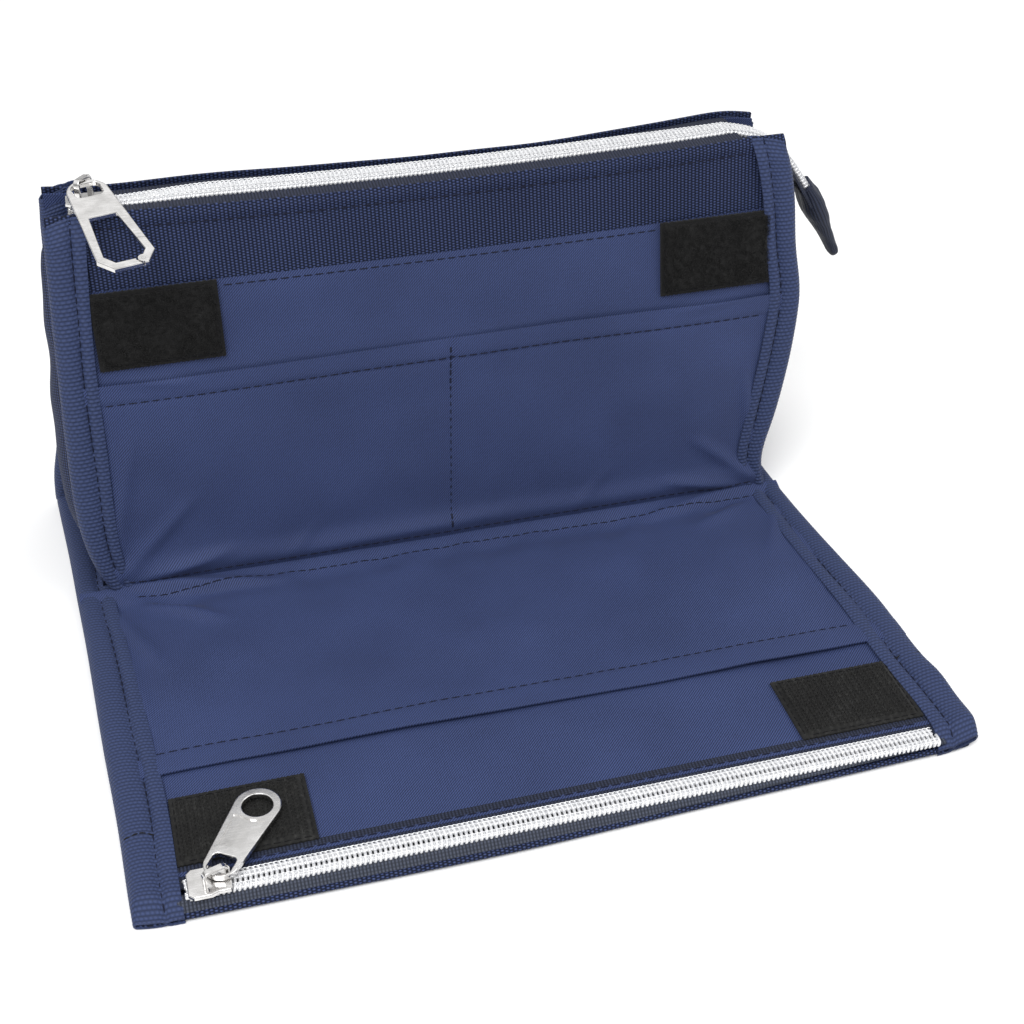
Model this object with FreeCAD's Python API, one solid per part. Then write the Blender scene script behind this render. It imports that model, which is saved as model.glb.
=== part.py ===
import FreeCAD, Part
import math
import os

# Book-style pencil case: a zipped pouch that stands up, with a flap that folds out flat in front.
# Frame: X along the width, Y towards the back, Z up. Origin on the surface the case stands on,
# under the middle of the ridge seam where the front panel of the pouch meets the flap. Millimetres.

# ---- driving dimensions ----
FLAP_LENGTH = 114.5        # ridge seam to the free edge of the flap
SPINE = 14.0               # strip between the ridge seam and the flap's fold line
BASE_DEPTH = 50.0          # ridge seam to the back bottom edge
FRONT_HEIGHT = 100.6       # front panel, along its slope
FRONT_LEAN = 10.0          # degrees that the front panel leans back
BACK_HEIGHT = 101.0        # back panel, along its slope
BACK_LEAN = 7.0            # degrees that the back panel leans forward
FLAP_TAPE = 11.0           # folded width of the binding on the flap, base and back
FRONT_TAPE = 9.5           # folded width of the binding on the front panel
TAPE_THICK = 0.6
FACE_Z = 3.0               # height of the inner face of the flap above the table
FOLD_GAP = 4.5             # rigid layers stop this far from the flap's fold line
CLEAR = 0.3                # room between soft pieces on different bodies

# ---- layers, as heights above the outer face of the flap or base ----
SHELL_RIM = 0.6            # the outer cloth is raised this far at its rim, over the binding
SHELL_TOP = 0.95
BOARD_TOP = 2.2
LINING_TOP = 2.5
TWILL_TOP = 2.8
POCKET_TOP = 3.05
HEM_TOP = 3.15
PATCH_TOP = 4.6
LEAF_LOW = 3.2

# ---- touch fastener patches ----
PATCH_INNER = 58.0
PATCH_OUTER = 88.0
HOOK_NEAR, HOOK_FAR = 79.3, 99.9        # distance from the ridge, on the flap
LOOP_LOW, LOOP_HIGH = 62.0, 82.0        # height along the front panel
LOOP_THICK = 2.0

# ---- zippers, number 5 coil ----
CHAIN_WIDTH = 6.2
CHAIN_THICK = 2.0
HALF_GAP = 0.5             # the slider's wedge runs between the two halves
TAPE_HALF = 0.25
FLAP_ZIP_Y = -106.9
FLAP_ZIP_Z = 3.05
MAIN_ZIP_Y = 28.0
MAIN_ZIP_Z = 100.6
MAIN_ZIP_TILT = 8.0        # degrees that the main zipper falls towards the back
MAIN_TAPE_LEFT = -85.0
MAIN_COIL_LEFT = -89.5
FLAP_ZIP_END = 87.9        # both ends of the flap zipper, at the bindings
MAIN_ZIP_RIGHT = 80.0

# ---- sliders and pullers ----
MAIN_SLIDER_X = -86.0
FLAP_SLIDER_X = -83.0
FLAP_PIVOT_X = -81.6       # the crown stands a little towards the closed side
PLATE_LOW, PLATE_HIGH = 1.15, 2.05
SLIDER_LENGTH = 9.6
SLIDER_HALF = 4.15
MAIN_PULL_ANGLE = -76.0    # direction of the main puller, from +X
MAIN_PULL_DROOP = 12.0
MAIN_PIVOT_W = 5.4         # height of the puller's bar above the coil's middle
FLAP_PULL_ANGLE = 57.0
FLAP_PULL_DROOP = 1.5
FLAP_PIVOT_W = 3.05
PULLER_THICK = 1.4


def vec(x, y, z):
    return FreeCAD.Vector(x, y, z)


def box(x0, x1, y0, y1, z0, z1):
    return Part.makeBox(x1 - x0, y1 - y0, z1 - z0, vec(x0, y0, z0))


def prism(points, z0, z1):
    """Straight-sided solid over a closed outline of (x, y) points."""
    corners = [vec(x, y, z0) for x, y in points]
    face = Part.Face(Part.makePolygon(corners + corners[:1]))
    return face.extrude(vec(0, 0, z1 - z0))


def turned(shape, point, axis, degrees):
    copy = shape.copy()
    copy.rotate(point, axis, degrees)
    return copy


def moved(shape, x, y, z):
    copy = shape.copy()
    copy.translate(vec(x, y, z))
    return copy


# ---- outlines: half width as a smooth function of the distance along a panel ----
OUTER_SIDE = [(-FLAP_LENGTH, 99.5), (-82, 99.8), (-58, 101.3), (-14, 97.0), (0, 95.5), (25, 98.0), (50, 101.0)]
FRONT_SIDE = [(0, 90.0), (12, 91.5), (35, 97.0), (61, 99.2), (85, 97.2), (105, 95.5)]
BACK_SIDE = [(0, 101.0), (50, 99.6), (100, 98.8)]


def outline_slab(side, inset, z0, z1):
    """Whole panel between its two curved sides, each moved inwards by inset."""
    right = Part.BSplineCurve()
    right.interpolate([vec(half - inset, y, z0) for y, half in side])
    left = Part.BSplineCurve()
    left.interpolate([vec(inset - half, y, z0) for y, half in side])
    ends = [
        Part.LineSegment(left.StartPoint, right.StartPoint),
        Part.LineSegment(right.EndPoint, left.EndPoint),
    ]
    wire = Part.Wire([ends[0].toShape(), right.toShape(), ends[1].toShape(), left.toShape()])
    return Part.Face(wire).extrude(vec(0, 0, z1 - z0))


def sheet(side, inset, y0, y1, z0, z1):
    """Layer of a panel from y0 to y1."""
    return outline_slab(side, inset, z0, z1).common(box(-150, 150, y0, y1, z0 - 1, z1 + 1))


def binding(side, tape, y0, y1, z_low, z_high, hand):
    """Tape folded round the edge of a panel: two leaves and the wall that joins them. hand is 1 or -1."""
    whole = outline_slab(side, 0.0, z_low, z_high)
    inside = outline_slab(side, TAPE_THICK, z_low + TAPE_THICK, z_high - TAPE_THICK)
    beyond = outline_slab(side, tape, z_low - 1, z_high + 1)
    ring = whole.cut(inside).cut(beyond)
    near = box(0, 150, y0, y1, z_low - 1, z_high + 1)
    if hand < 0:
        near = box(-150, 0, y0, y1, z_low - 1, z_high + 1)
    return ring.common(near)


SIDES = (("left", -1), ("right", 1))
EDGE_ROOM = TAPE_THICK + 0.1     # layers stop just inside the wall of the binding


# ---- places of the two leaning panels and the main zipper ----
def on_front(shape):
    """From the front panel's own frame: Y up the panel, Z out of its inner, twill-covered face."""
    return moved(turned(shape, vec(0, 0, 0), vec(1, 0, 0), 90 - FRONT_LEAN), 0, 0, FACE_Z)


BACK_AXIS_Z = 0.6


def on_back(shape):
    """From the back panel's own frame: Y up the panel, Z from its outer face towards the pouch."""
    return moved(turned(shape, vec(0, 0, 0), vec(1, 0, 0), 90 + BACK_LEAN), 0, BASE_DEPTH, BACK_AXIS_Z)


def on_main_zip(shape):
    """From the zipper's own frame: X along it, Y towards the back half, Z out of its face."""
    return moved(turned(shape, vec(0, 0, 0), vec(1, 0, 0), -MAIN_ZIP_TILT), 0, MAIN_ZIP_Y, MAIN_ZIP_Z)


def on_flap_zip(shape):
    return moved(shape, 0, FLAP_ZIP_Y, FLAP_ZIP_Z)


# ---- outer cloth, boards and linings of the base ----
def base_nodes():
    fold = -SPINE
    back = BASE_DEPTH
    board_back = back - 4.0
    floor = sheet(OUTER_SIDE, FLAP_TAPE + 0.1, fold, back - 0.2, 0.0, SHELL_TOP)
    rim = sheet(OUTER_SIDE, EDGE_ROOM, fold, back - 0.2, SHELL_RIM, SHELL_TOP)
    start = fold + FOLD_GAP
    nodes = {
        "base_shell": floor.fuse(rim).removeSplitter(),
        "base_board": sheet(OUTER_SIDE, EDGE_ROOM, 2.0, board_back, SHELL_TOP, BOARD_TOP),
        "base_lining": sheet(OUTER_SIDE, EDGE_ROOM, 3.5, board_back, BOARD_TOP, LINING_TOP),
        "spine_padding": sheet(OUTER_SIDE, EDGE_ROOM, start, 1.5, SHELL_TOP, BOARD_TOP),
        "spine_lining": sheet(OUTER_SIDE, EDGE_ROOM, start, 0.0, BOARD_TOP, TWILL_TOP),
    }
    for name, hand in SIDES:
        nodes["base_binding_" + name] = binding(
            OUTER_SIDE, FLAP_TAPE, start, back - 3.8, 0.0, LEAF_LOW + TAPE_THICK, hand
        )
    return nodes


# ---- front panel of the pouch ----
WALL_LOW = -2.3
WALL_MID = -1.9
WALL_CLOTH = -0.9
WALL_FACE = -0.4
FRONT_HEM = 58.7
FRONT_HEM_STITCH = 52.9
LINING_EDGE = 82.5


def front_nodes():
    low = 1.6
    leaf_top = 1.3
    pocket = sheet(FRONT_SIDE, EDGE_ROOM, low, FRONT_HEM, 0.0, 0.35)
    hem = sheet(FRONT_SIDE, EDGE_ROOM, FRONT_HEM_STITCH, FRONT_HEM, 0.3, 0.6)
    top = FRONT_HEIGHT
    nodes = {
        "front_wall": sheet(FRONT_SIDE, EDGE_ROOM, low, top, WALL_CLOTH, WALL_FACE),
        "front_stiffener": sheet(FRONT_SIDE, EDGE_ROOM, low + 1, top - 2, WALL_MID, WALL_CLOTH),
        "front_inner_lining": sheet(FRONT_SIDE, EDGE_ROOM, low + 1, top - 1, WALL_LOW, WALL_MID),
        "front_lining_panel": sheet(FRONT_SIDE, EDGE_ROOM, low, LINING_EDGE, WALL_FACE, 0.0),
        "front_slip_pocket": pocket.fuse(hem).removeSplitter(),
    }
    for name, hand in SIDES:
        ends = sorted((hand * PATCH_INNER, hand * PATCH_OUTER))
        nodes["loop_patch_" + name] = box(*ends, LOOP_LOW, LOOP_HIGH, 0.0, LOOP_THICK)
        nodes["front_binding_" + name] = binding(
            FRONT_SIDE, FRONT_TAPE, low, top + 0.4, WALL_LOW - TAPE_THICK, leaf_top, hand
        )
    return {name: on_front(shape) for name, shape in nodes.items()}


# ---- back panel of the pouch ----
def back_nodes():
    low = 1.5
    top = BACK_HEIGHT
    cloth, board, lining = 0.6, 1.8, 2.2
    nodes = {
        "back_shell": sheet(BACK_SIDE, EDGE_ROOM, low, top, 0.0, cloth),
        "back_board": sheet(BACK_SIDE, EDGE_ROOM, low + 1, top - 2, cloth, board),
        "back_lining": sheet(BACK_SIDE, EDGE_ROOM, low + 1, top - 1, board, lining),
    }
    for name, hand in SIDES:
        nodes["back_binding_" + name] = binding(
            BACK_SIDE, FLAP_TAPE, low + 2.5, top + 1.0, -TAPE_THICK, lining + TAPE_THICK, hand
        )
    return {name: on_back(shape) for name, shape in nodes.items()}


# ---- side gussets between the front and back panels ----
GUSSET_X = 86.5
GUSSET_FOLD = 4.0
GUSSET_TOP = 91.0


def gusset(hand):
    """Cloth wall folded inwards along its middle, in plan a shallow V that tapers upwards."""

    def level(z):
        front = (z - FACE_Z) * math.tan(math.radians(FRONT_LEAN)) - WALL_LOW + TAPE_THICK + 0.7
        back = BASE_DEPTH - (z - BACK_AXIS_Z) * math.tan(math.radians(BACK_LEAN)) - 3.4
        middle = (front + back) / 2
        outline = [
            (GUSSET_X, front),
            (GUSSET_X - GUSSET_FOLD, middle),
            (GUSSET_X, back),
            (GUSSET_X + 0.7, back),
            (GUSSET_X + 0.7 - GUSSET_FOLD, middle),
            (GUSSET_X + 0.7, front),
        ]
        corners = [vec(hand * x, y, z) for x, y in outline]
        return Part.makePolygon(corners + corners[:1])

    return Part.makeLoft([level(LEAF_LOW + TAPE_THICK + CLEAR), level(GUSSET_TOP)], True, True)


# ---- flap ----
POCKET_MOUTH = 71.5
POCKET_STITCH = 64.1
TWILL_EDGE = 101.2


def flap_nodes():
    near = -SPINE - FOLD_GAP
    edge = -FLAP_LENGTH
    floor = sheet(OUTER_SIDE, FLAP_TAPE + 0.1, edge, -SPINE, 0.0, SHELL_TOP)
    rim = sheet(OUTER_SIDE, EDGE_ROOM, edge, -SPINE, SHELL_RIM, SHELL_TOP)
    wrap = sheet(OUTER_SIDE, FLAP_TAPE + 0.1, edge, edge + 0.8, 0.0, FLAP_ZIP_Z + 0.7)
    turn = sheet(OUTER_SIDE, FLAP_TAPE + 0.1, edge, edge + 2.4, FLAP_ZIP_Z + 0.3, FLAP_ZIP_Z + 0.7)
    pocket = sheet(OUTER_SIDE, EDGE_ROOM, -POCKET_MOUTH, near, TWILL_TOP, POCKET_TOP)
    hem = sheet(OUTER_SIDE, EDGE_ROOM, -POCKET_MOUTH, -POCKET_STITCH, POCKET_TOP, HEM_TOP)
    nodes = {
        "flap_shell": floor.fuse(rim).fuse(wrap).fuse(turn).removeSplitter(),
        "flap_board": sheet(OUTER_SIDE, EDGE_ROOM, -TWILL_EDGE, near, SHELL_TOP, BOARD_TOP),
        "flap_pocket_lining": sheet(OUTER_SIDE, EDGE_ROOM, -TWILL_EDGE, near, BOARD_TOP, LINING_TOP),
        "flap_inner_panel": sheet(OUTER_SIDE, EDGE_ROOM, -TWILL_EDGE, near, LINING_TOP, TWILL_TOP),
        "flap_slip_pocket": pocket.fuse(hem).removeSplitter(),
    }
    for name, hand in SIDES:
        ends = sorted((hand * PATCH_INNER, hand * PATCH_OUTER))
        nodes["hook_patch_" + name] = box(*ends, -HOOK_FAR, -HOOK_NEAR, TWILL_TOP, PATCH_TOP)
        nodes["flap_binding_" + name] = binding(
            OUTER_SIDE, FLAP_TAPE, edge, near, 0.0, LEAF_LOW + TAPE_THICK, hand
        )
    return nodes


# ---- zipper chain and tape ----
def chain_half(x0, x1, hand):
    """One half of a closed coil, as a rounded bar beside the centre line."""
    near, far = sorted((hand * HALF_GAP, hand * CHAIN_WIDTH / 2))
    half = CHAIN_THICK / 2
    bar = box(x0, x1, near, far, -half, half)
    long_edges = [e for e in bar.Edges if e.BoundBox.XLength > 1]
    return bar.makeFillet(0.45, long_edges)


def zip_tape(x0, x1, reach, hand):
    near, far = sorted((hand * CHAIN_WIDTH / 2, hand * reach))
    return box(x0, x1, near, far, -TAPE_HALF, TAPE_HALF)


END_ROUTE = [(MAIN_ZIP_RIGHT + 0.4, 28.0, 100.6), (90.0, 28.2, 98.2), (99.0, 29.0, 91.0), (106.5, 30.0, 80.5)]
TAIL_ROUTE = [(106.9, 30.1, 79.9), (110.8, 31.0, 72.8), (115.4, 32.0, 64.6), (119.0, 32.5, 57.6)]
TAIL_HALVES = [(4.2, 1.3), (6.5, 2.4), (4.8, 2.0), (1.6, 0.9)]    # half width, half thickness


def ribbon(route, halves):
    """Solid of rectangular sections along a bending route. Sections keep their width along Y."""
    sections = []
    for i, (x, y, z) in enumerate(route):
        ahead = route[min(i + 1, len(route) - 1)]
        behind = route[max(i - 1, 0)]
        slope = math.atan2(ahead[2] - behind[2], ahead[0] - behind[0])
        half, thick = halves[i]
        up = (-math.sin(slope) * thick, math.cos(slope) * thick)
        corners = [
            vec(x + up[0], y - half, z + up[1]),
            vec(x + up[0], y + half, z + up[1]),
            vec(x - up[0], y + half, z - up[1]),
            vec(x - up[0], y - half, z - up[1]),
        ]
        sections.append(Part.makePolygon(corners + corners[:1]))
    return Part.makeLoft(sections, True, True)


def zipper_nodes():
    front_reach = 9.6
    back_reach = 7.2
    flap_rear_reach = 6.8
    flap_front_reach = 5.1
    right = MAIN_ZIP_RIGHT
    end_halves = [(CHAIN_WIDTH / 2, CHAIN_THICK / 2)] * len(END_ROUTE)
    return {
        "main_zip_front_tape": on_main_zip(zip_tape(MAIN_TAPE_LEFT, right, front_reach, -1)),
        "main_zip_front_coil": on_main_zip(chain_half(MAIN_COIL_LEFT, right, -1)),
        "main_zip_back_tape": on_main_zip(zip_tape(MAIN_TAPE_LEFT, right, back_reach, 1)),
        "main_zip_back_coil": on_main_zip(chain_half(MAIN_COIL_LEFT, right, 1)),
        "main_zip_end_chain": ribbon(END_ROUTE, end_halves),
        "main_zip_tail": ribbon(TAIL_ROUTE, TAIL_HALVES),
        "flap_zip_rear_tape": on_flap_zip(zip_tape(-FLAP_ZIP_END, FLAP_ZIP_END, flap_rear_reach, 1)),
        "flap_zip_rear_coil": on_flap_zip(chain_half(-FLAP_ZIP_END, FLAP_ZIP_END, 1)),
        "flap_zip_front_tape": on_flap_zip(zip_tape(-FLAP_ZIP_END, FLAP_ZIP_END, flap_front_reach, -1)),
        "flap_zip_front_coil": on_flap_zip(chain_half(-FLAP_ZIP_END, FLAP_ZIP_END, -1)),
    }


# ---- zipper slider ----
def slider_outline(shrink):
    """Shield shape seen from above: wide at the mouth, narrower where the closed chain leaves."""
    wide = SLIDER_HALF - shrink
    narrow = SLIDER_HALF - 0.55 - shrink
    half = SLIDER_LENGTH / 2 - shrink
    return [
        (-half, -wide * 0.72),
        (-half + 1.2, -wide),
        (0.2, -wide),
        (1.8, -narrow),
        (half - 0.5, -narrow),
        (half, -narrow + 0.7),
        (half, narrow - 0.7),
        (half - 0.5, narrow),
        (1.8, narrow),
        (0.2, wide),
        (-half + 1.2, wide),
        (-half, wide * 0.72),
    ]


def level_edges(shape, z):
    """Edges that lie in the level plane at height z."""
    return [
        e for e in shape.Edges
        if abs(e.CenterOfMass.z - z) < 1e-4 and all(abs(v.Point.z - z) < 1e-4 for v in e.Vertexes)
    ]


def rounded_top(shape, radius, z):
    return shape.makeFillet(radius, level_edges(shape, z))


def slider_body():
    """Top and bottom plates joined by the wedge that parts the coil, with short side lips."""
    top = rounded_top(prism(slider_outline(0.0), PLATE_LOW, PLATE_HIGH), 0.35, PLATE_HIGH)
    bottom = rounded_top(prism(slider_outline(0.0), -PLATE_HIGH, -PLATE_LOW), 0.35, -PLATE_HIGH)
    half = SLIDER_LENGTH / 2
    web_half = HALF_GAP - 0.12
    wedge = prism(
        [(-half + 0.3, -web_half), (-half + 2.6, -web_half), (-half + 3.6, 0.0),
         (-half + 2.6, web_half), (-half + 0.3, web_half)],
        -PLATE_LOW - 0.1, PLATE_LOW + 0.1,
    )
    return top.fuse(bottom).fuse(wedge).removeSplitter()


def crown(plan_angle, inner_half, inner_height, band_half, band):
    """Bridge over the slider's top plate, turned in plan, that the puller's bar passes under."""
    floor = PLATE_HIGH
    outer_half = inner_half + band
    outer = box(-outer_half, outer_half, -band_half, band_half, floor, floor + inner_height + band)
    corner = [
        e for e in outer.Edges
        if e.BoundBox.YLength > 1 and e.BoundBox.ZMin > floor + inner_height
    ]
    outer = outer.makeFillet(1.5, corner)
    inner = box(-inner_half, inner_half, -band_half - 1, band_half + 1, floor - 1, floor + inner_height)
    corner = [
        e for e in inner.Edges
        if e.BoundBox.YLength > 1 and e.BoundBox.ZMin > floor + inner_height - 0.01
    ]
    inner = inner.makeFillet(0.8, corner)
    band_solid = outer.cut(inner)
    rims = [
        e for e in band_solid.Edges
        if abs(abs(e.CenterOfMass.y) - band_half) < 1e-4 and e.BoundBox.ZMin > floor + 0.05
    ]
    return turned(band_solid.makeFillet(0.18, rims), vec(0, 0, 0), vec(0, 0, 1), plan_angle)


MAIN_CROWN = dict(plan_angle=60.0, inner_half=2.6, inner_height=4.3, band_half=0.75, band=0.8)
FLAP_CROWN = dict(plan_angle=17.0, inner_half=2.2, inner_height=2.6, band_half=0.7, band=0.75)


# ---- pullers, drawn with X across, Y from the bar towards the tip, Z through the thickness ----
def arc_through(a, b, c):
    return Part.Arc(vec(*a, 0), vec(*b, 0), vec(*c, 0)).toShape()


def softened(shape, radius):
    """Round both rims of a flat puller."""
    half = PULLER_THICK / 2
    return shape.makeFillet(radius, level_edges(shape, half) + level_edges(shape, -half))


def flat_solid(edges):
    face = Part.Face(Part.Wire(edges))
    return moved(face.extrude(vec(0, 0, PULLER_THICK)), 0, 0, -PULLER_THICK / 2)


def polygon_solid(points):
    return prism(points, -PULLER_THICK / 2, PULLER_THICK / 2)


def mirrored(points):
    """Outline from its right half, listed from the bar's end to the tip's end."""
    return points + [(-x, y) for x, y in reversed(points)]


BAR = 0.75                     # half the width of the bar under the crown
PULL_TIP = 34.4
HOOK_SHOULDER = (7.0, 30.4)
HOOK_FOOT = (4.1, PULL_TIP)
GATE_PIVOT = (-3.35, PULL_TIP - 1.6)
GATE_NOSE = 25.4


def eye_hole(half_width, start, end, radius):
    """Slot across the puller with rounded corners."""
    near, far = start + radius, end - radius
    flat = half_width - radius
    bulge = radius * math.sqrt(0.5)
    edges = [
        Part.LineSegment(vec(-flat, start, 0), vec(flat, start, 0)).toShape(),
        arc_through((flat, start), (flat + bulge, near - bulge), (half_width, near)),
        arc_through((half_width, far), (flat + bulge, far + bulge), (flat, end)),
        Part.LineSegment(vec(flat, end, 0), vec(-flat, end, 0)).toShape(),
        arc_through((-flat, end), (-flat - bulge, far + bulge), (-half_width, far)),
        arc_through((-half_width, near), (-flat - bulge, near - bulge), (-flat, start)),
    ]
    if far - near > 0.01:
        edges.insert(2, Part.LineSegment(vec(half_width, near, 0), vec(half_width, far, 0)).toShape())
        edges.insert(6, Part.LineSegment(vec(-half_width, far, 0), vec(-half_width, near, 0)).toShape())
    return flat_solid(edges)


def hook_frame():
    """The whole carabiner outline with its eye and window, before the gate is parted from it."""
    shoulder_x, shoulder_y = HOOK_SHOULDER
    foot_x, foot_y = HOOK_FOOT
    edges = [
        arc_through((-5.0, 3.2), (0, -BAR), (5.0, 3.2)),
        Part.LineSegment(vec(5.0, 3.2, 0), vec(shoulder_x, shoulder_y, 0)).toShape(),
        Part.LineSegment(vec(shoulder_x, shoulder_y, 0), vec(foot_x, foot_y, 0)).toShape(),
        Part.LineSegment(vec(foot_x, foot_y, 0), vec(-foot_x, foot_y, 0)).toShape(),
        Part.LineSegment(vec(-foot_x, foot_y, 0), vec(-shoulder_x, shoulder_y, 0)).toShape(),
        Part.LineSegment(vec(-shoulder_x, shoulder_y, 0), vec(-5.0, 3.2, 0)).toShape(),
    ]
    window = mirrored([(3.3, 14.2), (4.95, 29.4), (3.0, 32.2)])
    body = flat_solid(edges).cut(eye_hole(3.5, BAR, 6.0, 1.6)).cut(polygon_solid(window))
    return softened(body, 0.3)


def gate_region(grow):
    """Prism that takes the lower left leg and corner out of the frame, up to the hinge."""
    px, py = GATE_PIVOT
    return prism(
        [(-9.0, GATE_NOSE + 1.2 - grow), (-3.4, GATE_NOSE - 0.6 - grow), (-2.6 + grow, py - 1.4),
         (px + grow, PULL_TIP + 1.0), (-9.0, PULL_TIP + 1.0)],
        -2.0, 2.0,
    )


def main_puller_nodes():
    """Frame with its lug, the gate with its knuckle, and the pin through both."""
    px, py = GATE_PIVOT
    half = PULLER_THICK / 2
    seam = 0.15
    lug_radius, knuckle_radius, pin_radius = 1.3, 1.3, 0.45
    relief_radius = 1.8
    frame = hook_frame()

    def disc(radius, z0, z1):
        return Part.makeCylinder(radius, z1 - z0, vec(px, py, z0))

    body = frame.cut(gate_region(seam)).cut(disc(relief_radius, -half - 1, half + 1))
    tongue = box(px, px + relief_radius + 0.6, py - 0.5, py + 1.2, -half + 0.1, -0.05)
    lug = disc(lug_radius, -half, -0.05).fuse(tongue).cut(disc(pin_radius, -half - 1, half))
    body = body.cut(disc(pin_radius, -half - 1, half + 1)).fuse(lug).removeSplitter()
    gate = frame.common(gate_region(0.0)).cut(disc(lug_radius + seam, -half - 1, 0.02))
    knuckle = disc(knuckle_radius, 0.02, half)
    gate = gate.fuse(knuckle).cut(disc(pin_radius + 0.05, -half - 1, half + 1)).removeSplitter()
    return {"main_puller": body, "puller_gate": gate, "gate_pin": disc(pin_radius, -half, half)}


def flap_puller():
    """Tapered tag: an eye at the bar, a recessed panel and a round hole near the wide tip."""
    tip_radius = 5.4
    hole_y = 21.4
    hole_radius = 3.5
    eye_half = 4.0
    edges = [
        arc_through((-eye_half, 3.4), (0, -BAR), (eye_half, 3.4)),
        Part.LineSegment(vec(eye_half, 3.4, 0), vec(tip_radius, hole_y, 0)).toShape(),
        arc_through((tip_radius, hole_y), (0, hole_y + tip_radius), (-tip_radius, hole_y)),
        Part.LineSegment(vec(-tip_radius, hole_y, 0), vec(-eye_half, 3.4, 0)).toShape(),
    ]
    half = PULLER_THICK / 2
    tag = flat_solid(edges).cut(eye_hole(2.8, BAR, 5.7, 1.2))
    tag = tag.cut(Part.makeCylinder(hole_radius, 4, vec(0, hole_y, -2)))
    tag = softened(tag, 0.25)
    recess = prism(mirrored([(3.0, 8.0), (3.7, 17.2)]), half - 0.3, half + 1)
    rim = Part.makeCylinder(hole_radius + 1.0, 4, vec(0, hole_y, -2))
    return tag.cut(recess.cut(rim))


def place_puller(shape, angle, droop):
    """Lay the puller out from its bar: angle in plan from +X, and droop below level."""
    down = turned(shape, vec(0, 0, 0), vec(1, 0, 0), -droop)
    return turned(down, vec(0, 0, 0), vec(0, 0, 1), angle - 90)


def main_pivot():
    tilt = math.radians(MAIN_ZIP_TILT)
    return vec(
        MAIN_SLIDER_X,
        MAIN_ZIP_Y + MAIN_PIVOT_W * math.sin(tilt),
        MAIN_ZIP_Z + MAIN_PIVOT_W * math.cos(tilt),
    )


def hardware_nodes():
    nodes = {
        "main_slider_body": on_main_zip(moved(slider_body(), MAIN_SLIDER_X, 0, 0)),
        "main_slider_crown": on_main_zip(moved(crown(**MAIN_CROWN), MAIN_SLIDER_X, 0, 0)),
        "flap_slider_body": on_flap_zip(moved(slider_body(), FLAP_SLIDER_X, 0, 0)),
        "flap_slider_crown": on_flap_zip(moved(crown(**FLAP_CROWN), FLAP_PIVOT_X, 0, 0)),
    }
    pivot = main_pivot()
    for name, shape in main_puller_nodes().items():
        nodes[name] = moved(place_puller(shape, MAIN_PULL_ANGLE, MAIN_PULL_DROOP), *pivot)
    tag = place_puller(flap_puller(), FLAP_PULL_ANGLE, FLAP_PULL_DROOP)
    nodes["flap_puller"] = moved(tag, FLAP_PIVOT_X, FLAP_ZIP_Y, FLAP_ZIP_Z + FLAP_PIVOT_W)
    return nodes


def all_nodes():
    nodes = {}
    for group in (base_nodes, front_nodes, back_nodes, flap_nodes, zipper_nodes, hardware_nodes):
        nodes.update(group())
    for name, hand in SIDES:
        nodes["gusset_" + name] = gusset(hand)
    return nodes


def main():
    os.makedirs("parts", exist_ok=True)
    for name, shape in sorted(all_nodes().items()):
        if not shape.isValid() or shape.Volume <= 0:
            print("check", name, shape.isValid(), round(shape.Volume, 2))
        shape.exportStep("parts/" + name + ".step")
        print(name, len(shape.Solids), round(shape.Volume, 1))


main()
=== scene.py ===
from math import cos, hypot, pi, radians, sin, tan

import bpy
import numpy as np
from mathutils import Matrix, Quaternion, Vector


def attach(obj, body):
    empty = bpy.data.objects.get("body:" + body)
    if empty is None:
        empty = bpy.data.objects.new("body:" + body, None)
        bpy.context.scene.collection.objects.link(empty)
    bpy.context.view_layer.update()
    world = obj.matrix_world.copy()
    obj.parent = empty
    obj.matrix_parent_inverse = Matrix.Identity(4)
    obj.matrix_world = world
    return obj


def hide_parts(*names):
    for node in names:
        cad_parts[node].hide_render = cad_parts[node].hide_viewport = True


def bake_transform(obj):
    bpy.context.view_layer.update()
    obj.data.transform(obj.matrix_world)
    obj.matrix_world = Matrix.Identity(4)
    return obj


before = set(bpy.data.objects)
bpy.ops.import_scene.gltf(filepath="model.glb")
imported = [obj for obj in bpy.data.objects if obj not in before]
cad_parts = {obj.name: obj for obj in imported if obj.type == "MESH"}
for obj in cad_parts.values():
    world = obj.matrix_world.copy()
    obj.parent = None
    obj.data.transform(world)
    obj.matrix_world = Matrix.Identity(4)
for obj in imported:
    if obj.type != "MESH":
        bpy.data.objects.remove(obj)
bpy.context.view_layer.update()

MM = 0.001
scene = bpy.context.scene


def add_object(name, data):
    made = bpy.data.objects.new(name, data)
    scene.collection.objects.link(made)
    return made


# ---- camera ----
EYE = Vector((-82.9, -347.9, 273.2)) * MM
LOOK = Vector((0.2162, 0.7768, -0.5914))
ROLL = Quaternion((0, 0, 1), radians(0.08))
camera = add_object("camera", bpy.data.cameras.new("camera"))
camera.rotation_mode = "QUATERNION"
camera.location = EYE
camera.rotation_quaternion = LOOK.to_track_quat("-Z", "Y") @ ROLL
camera.data.sensor_width = 36.0
camera.data.lens = 56.8
camera.data.clip_start = 0.01
scene.camera = camera


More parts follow.
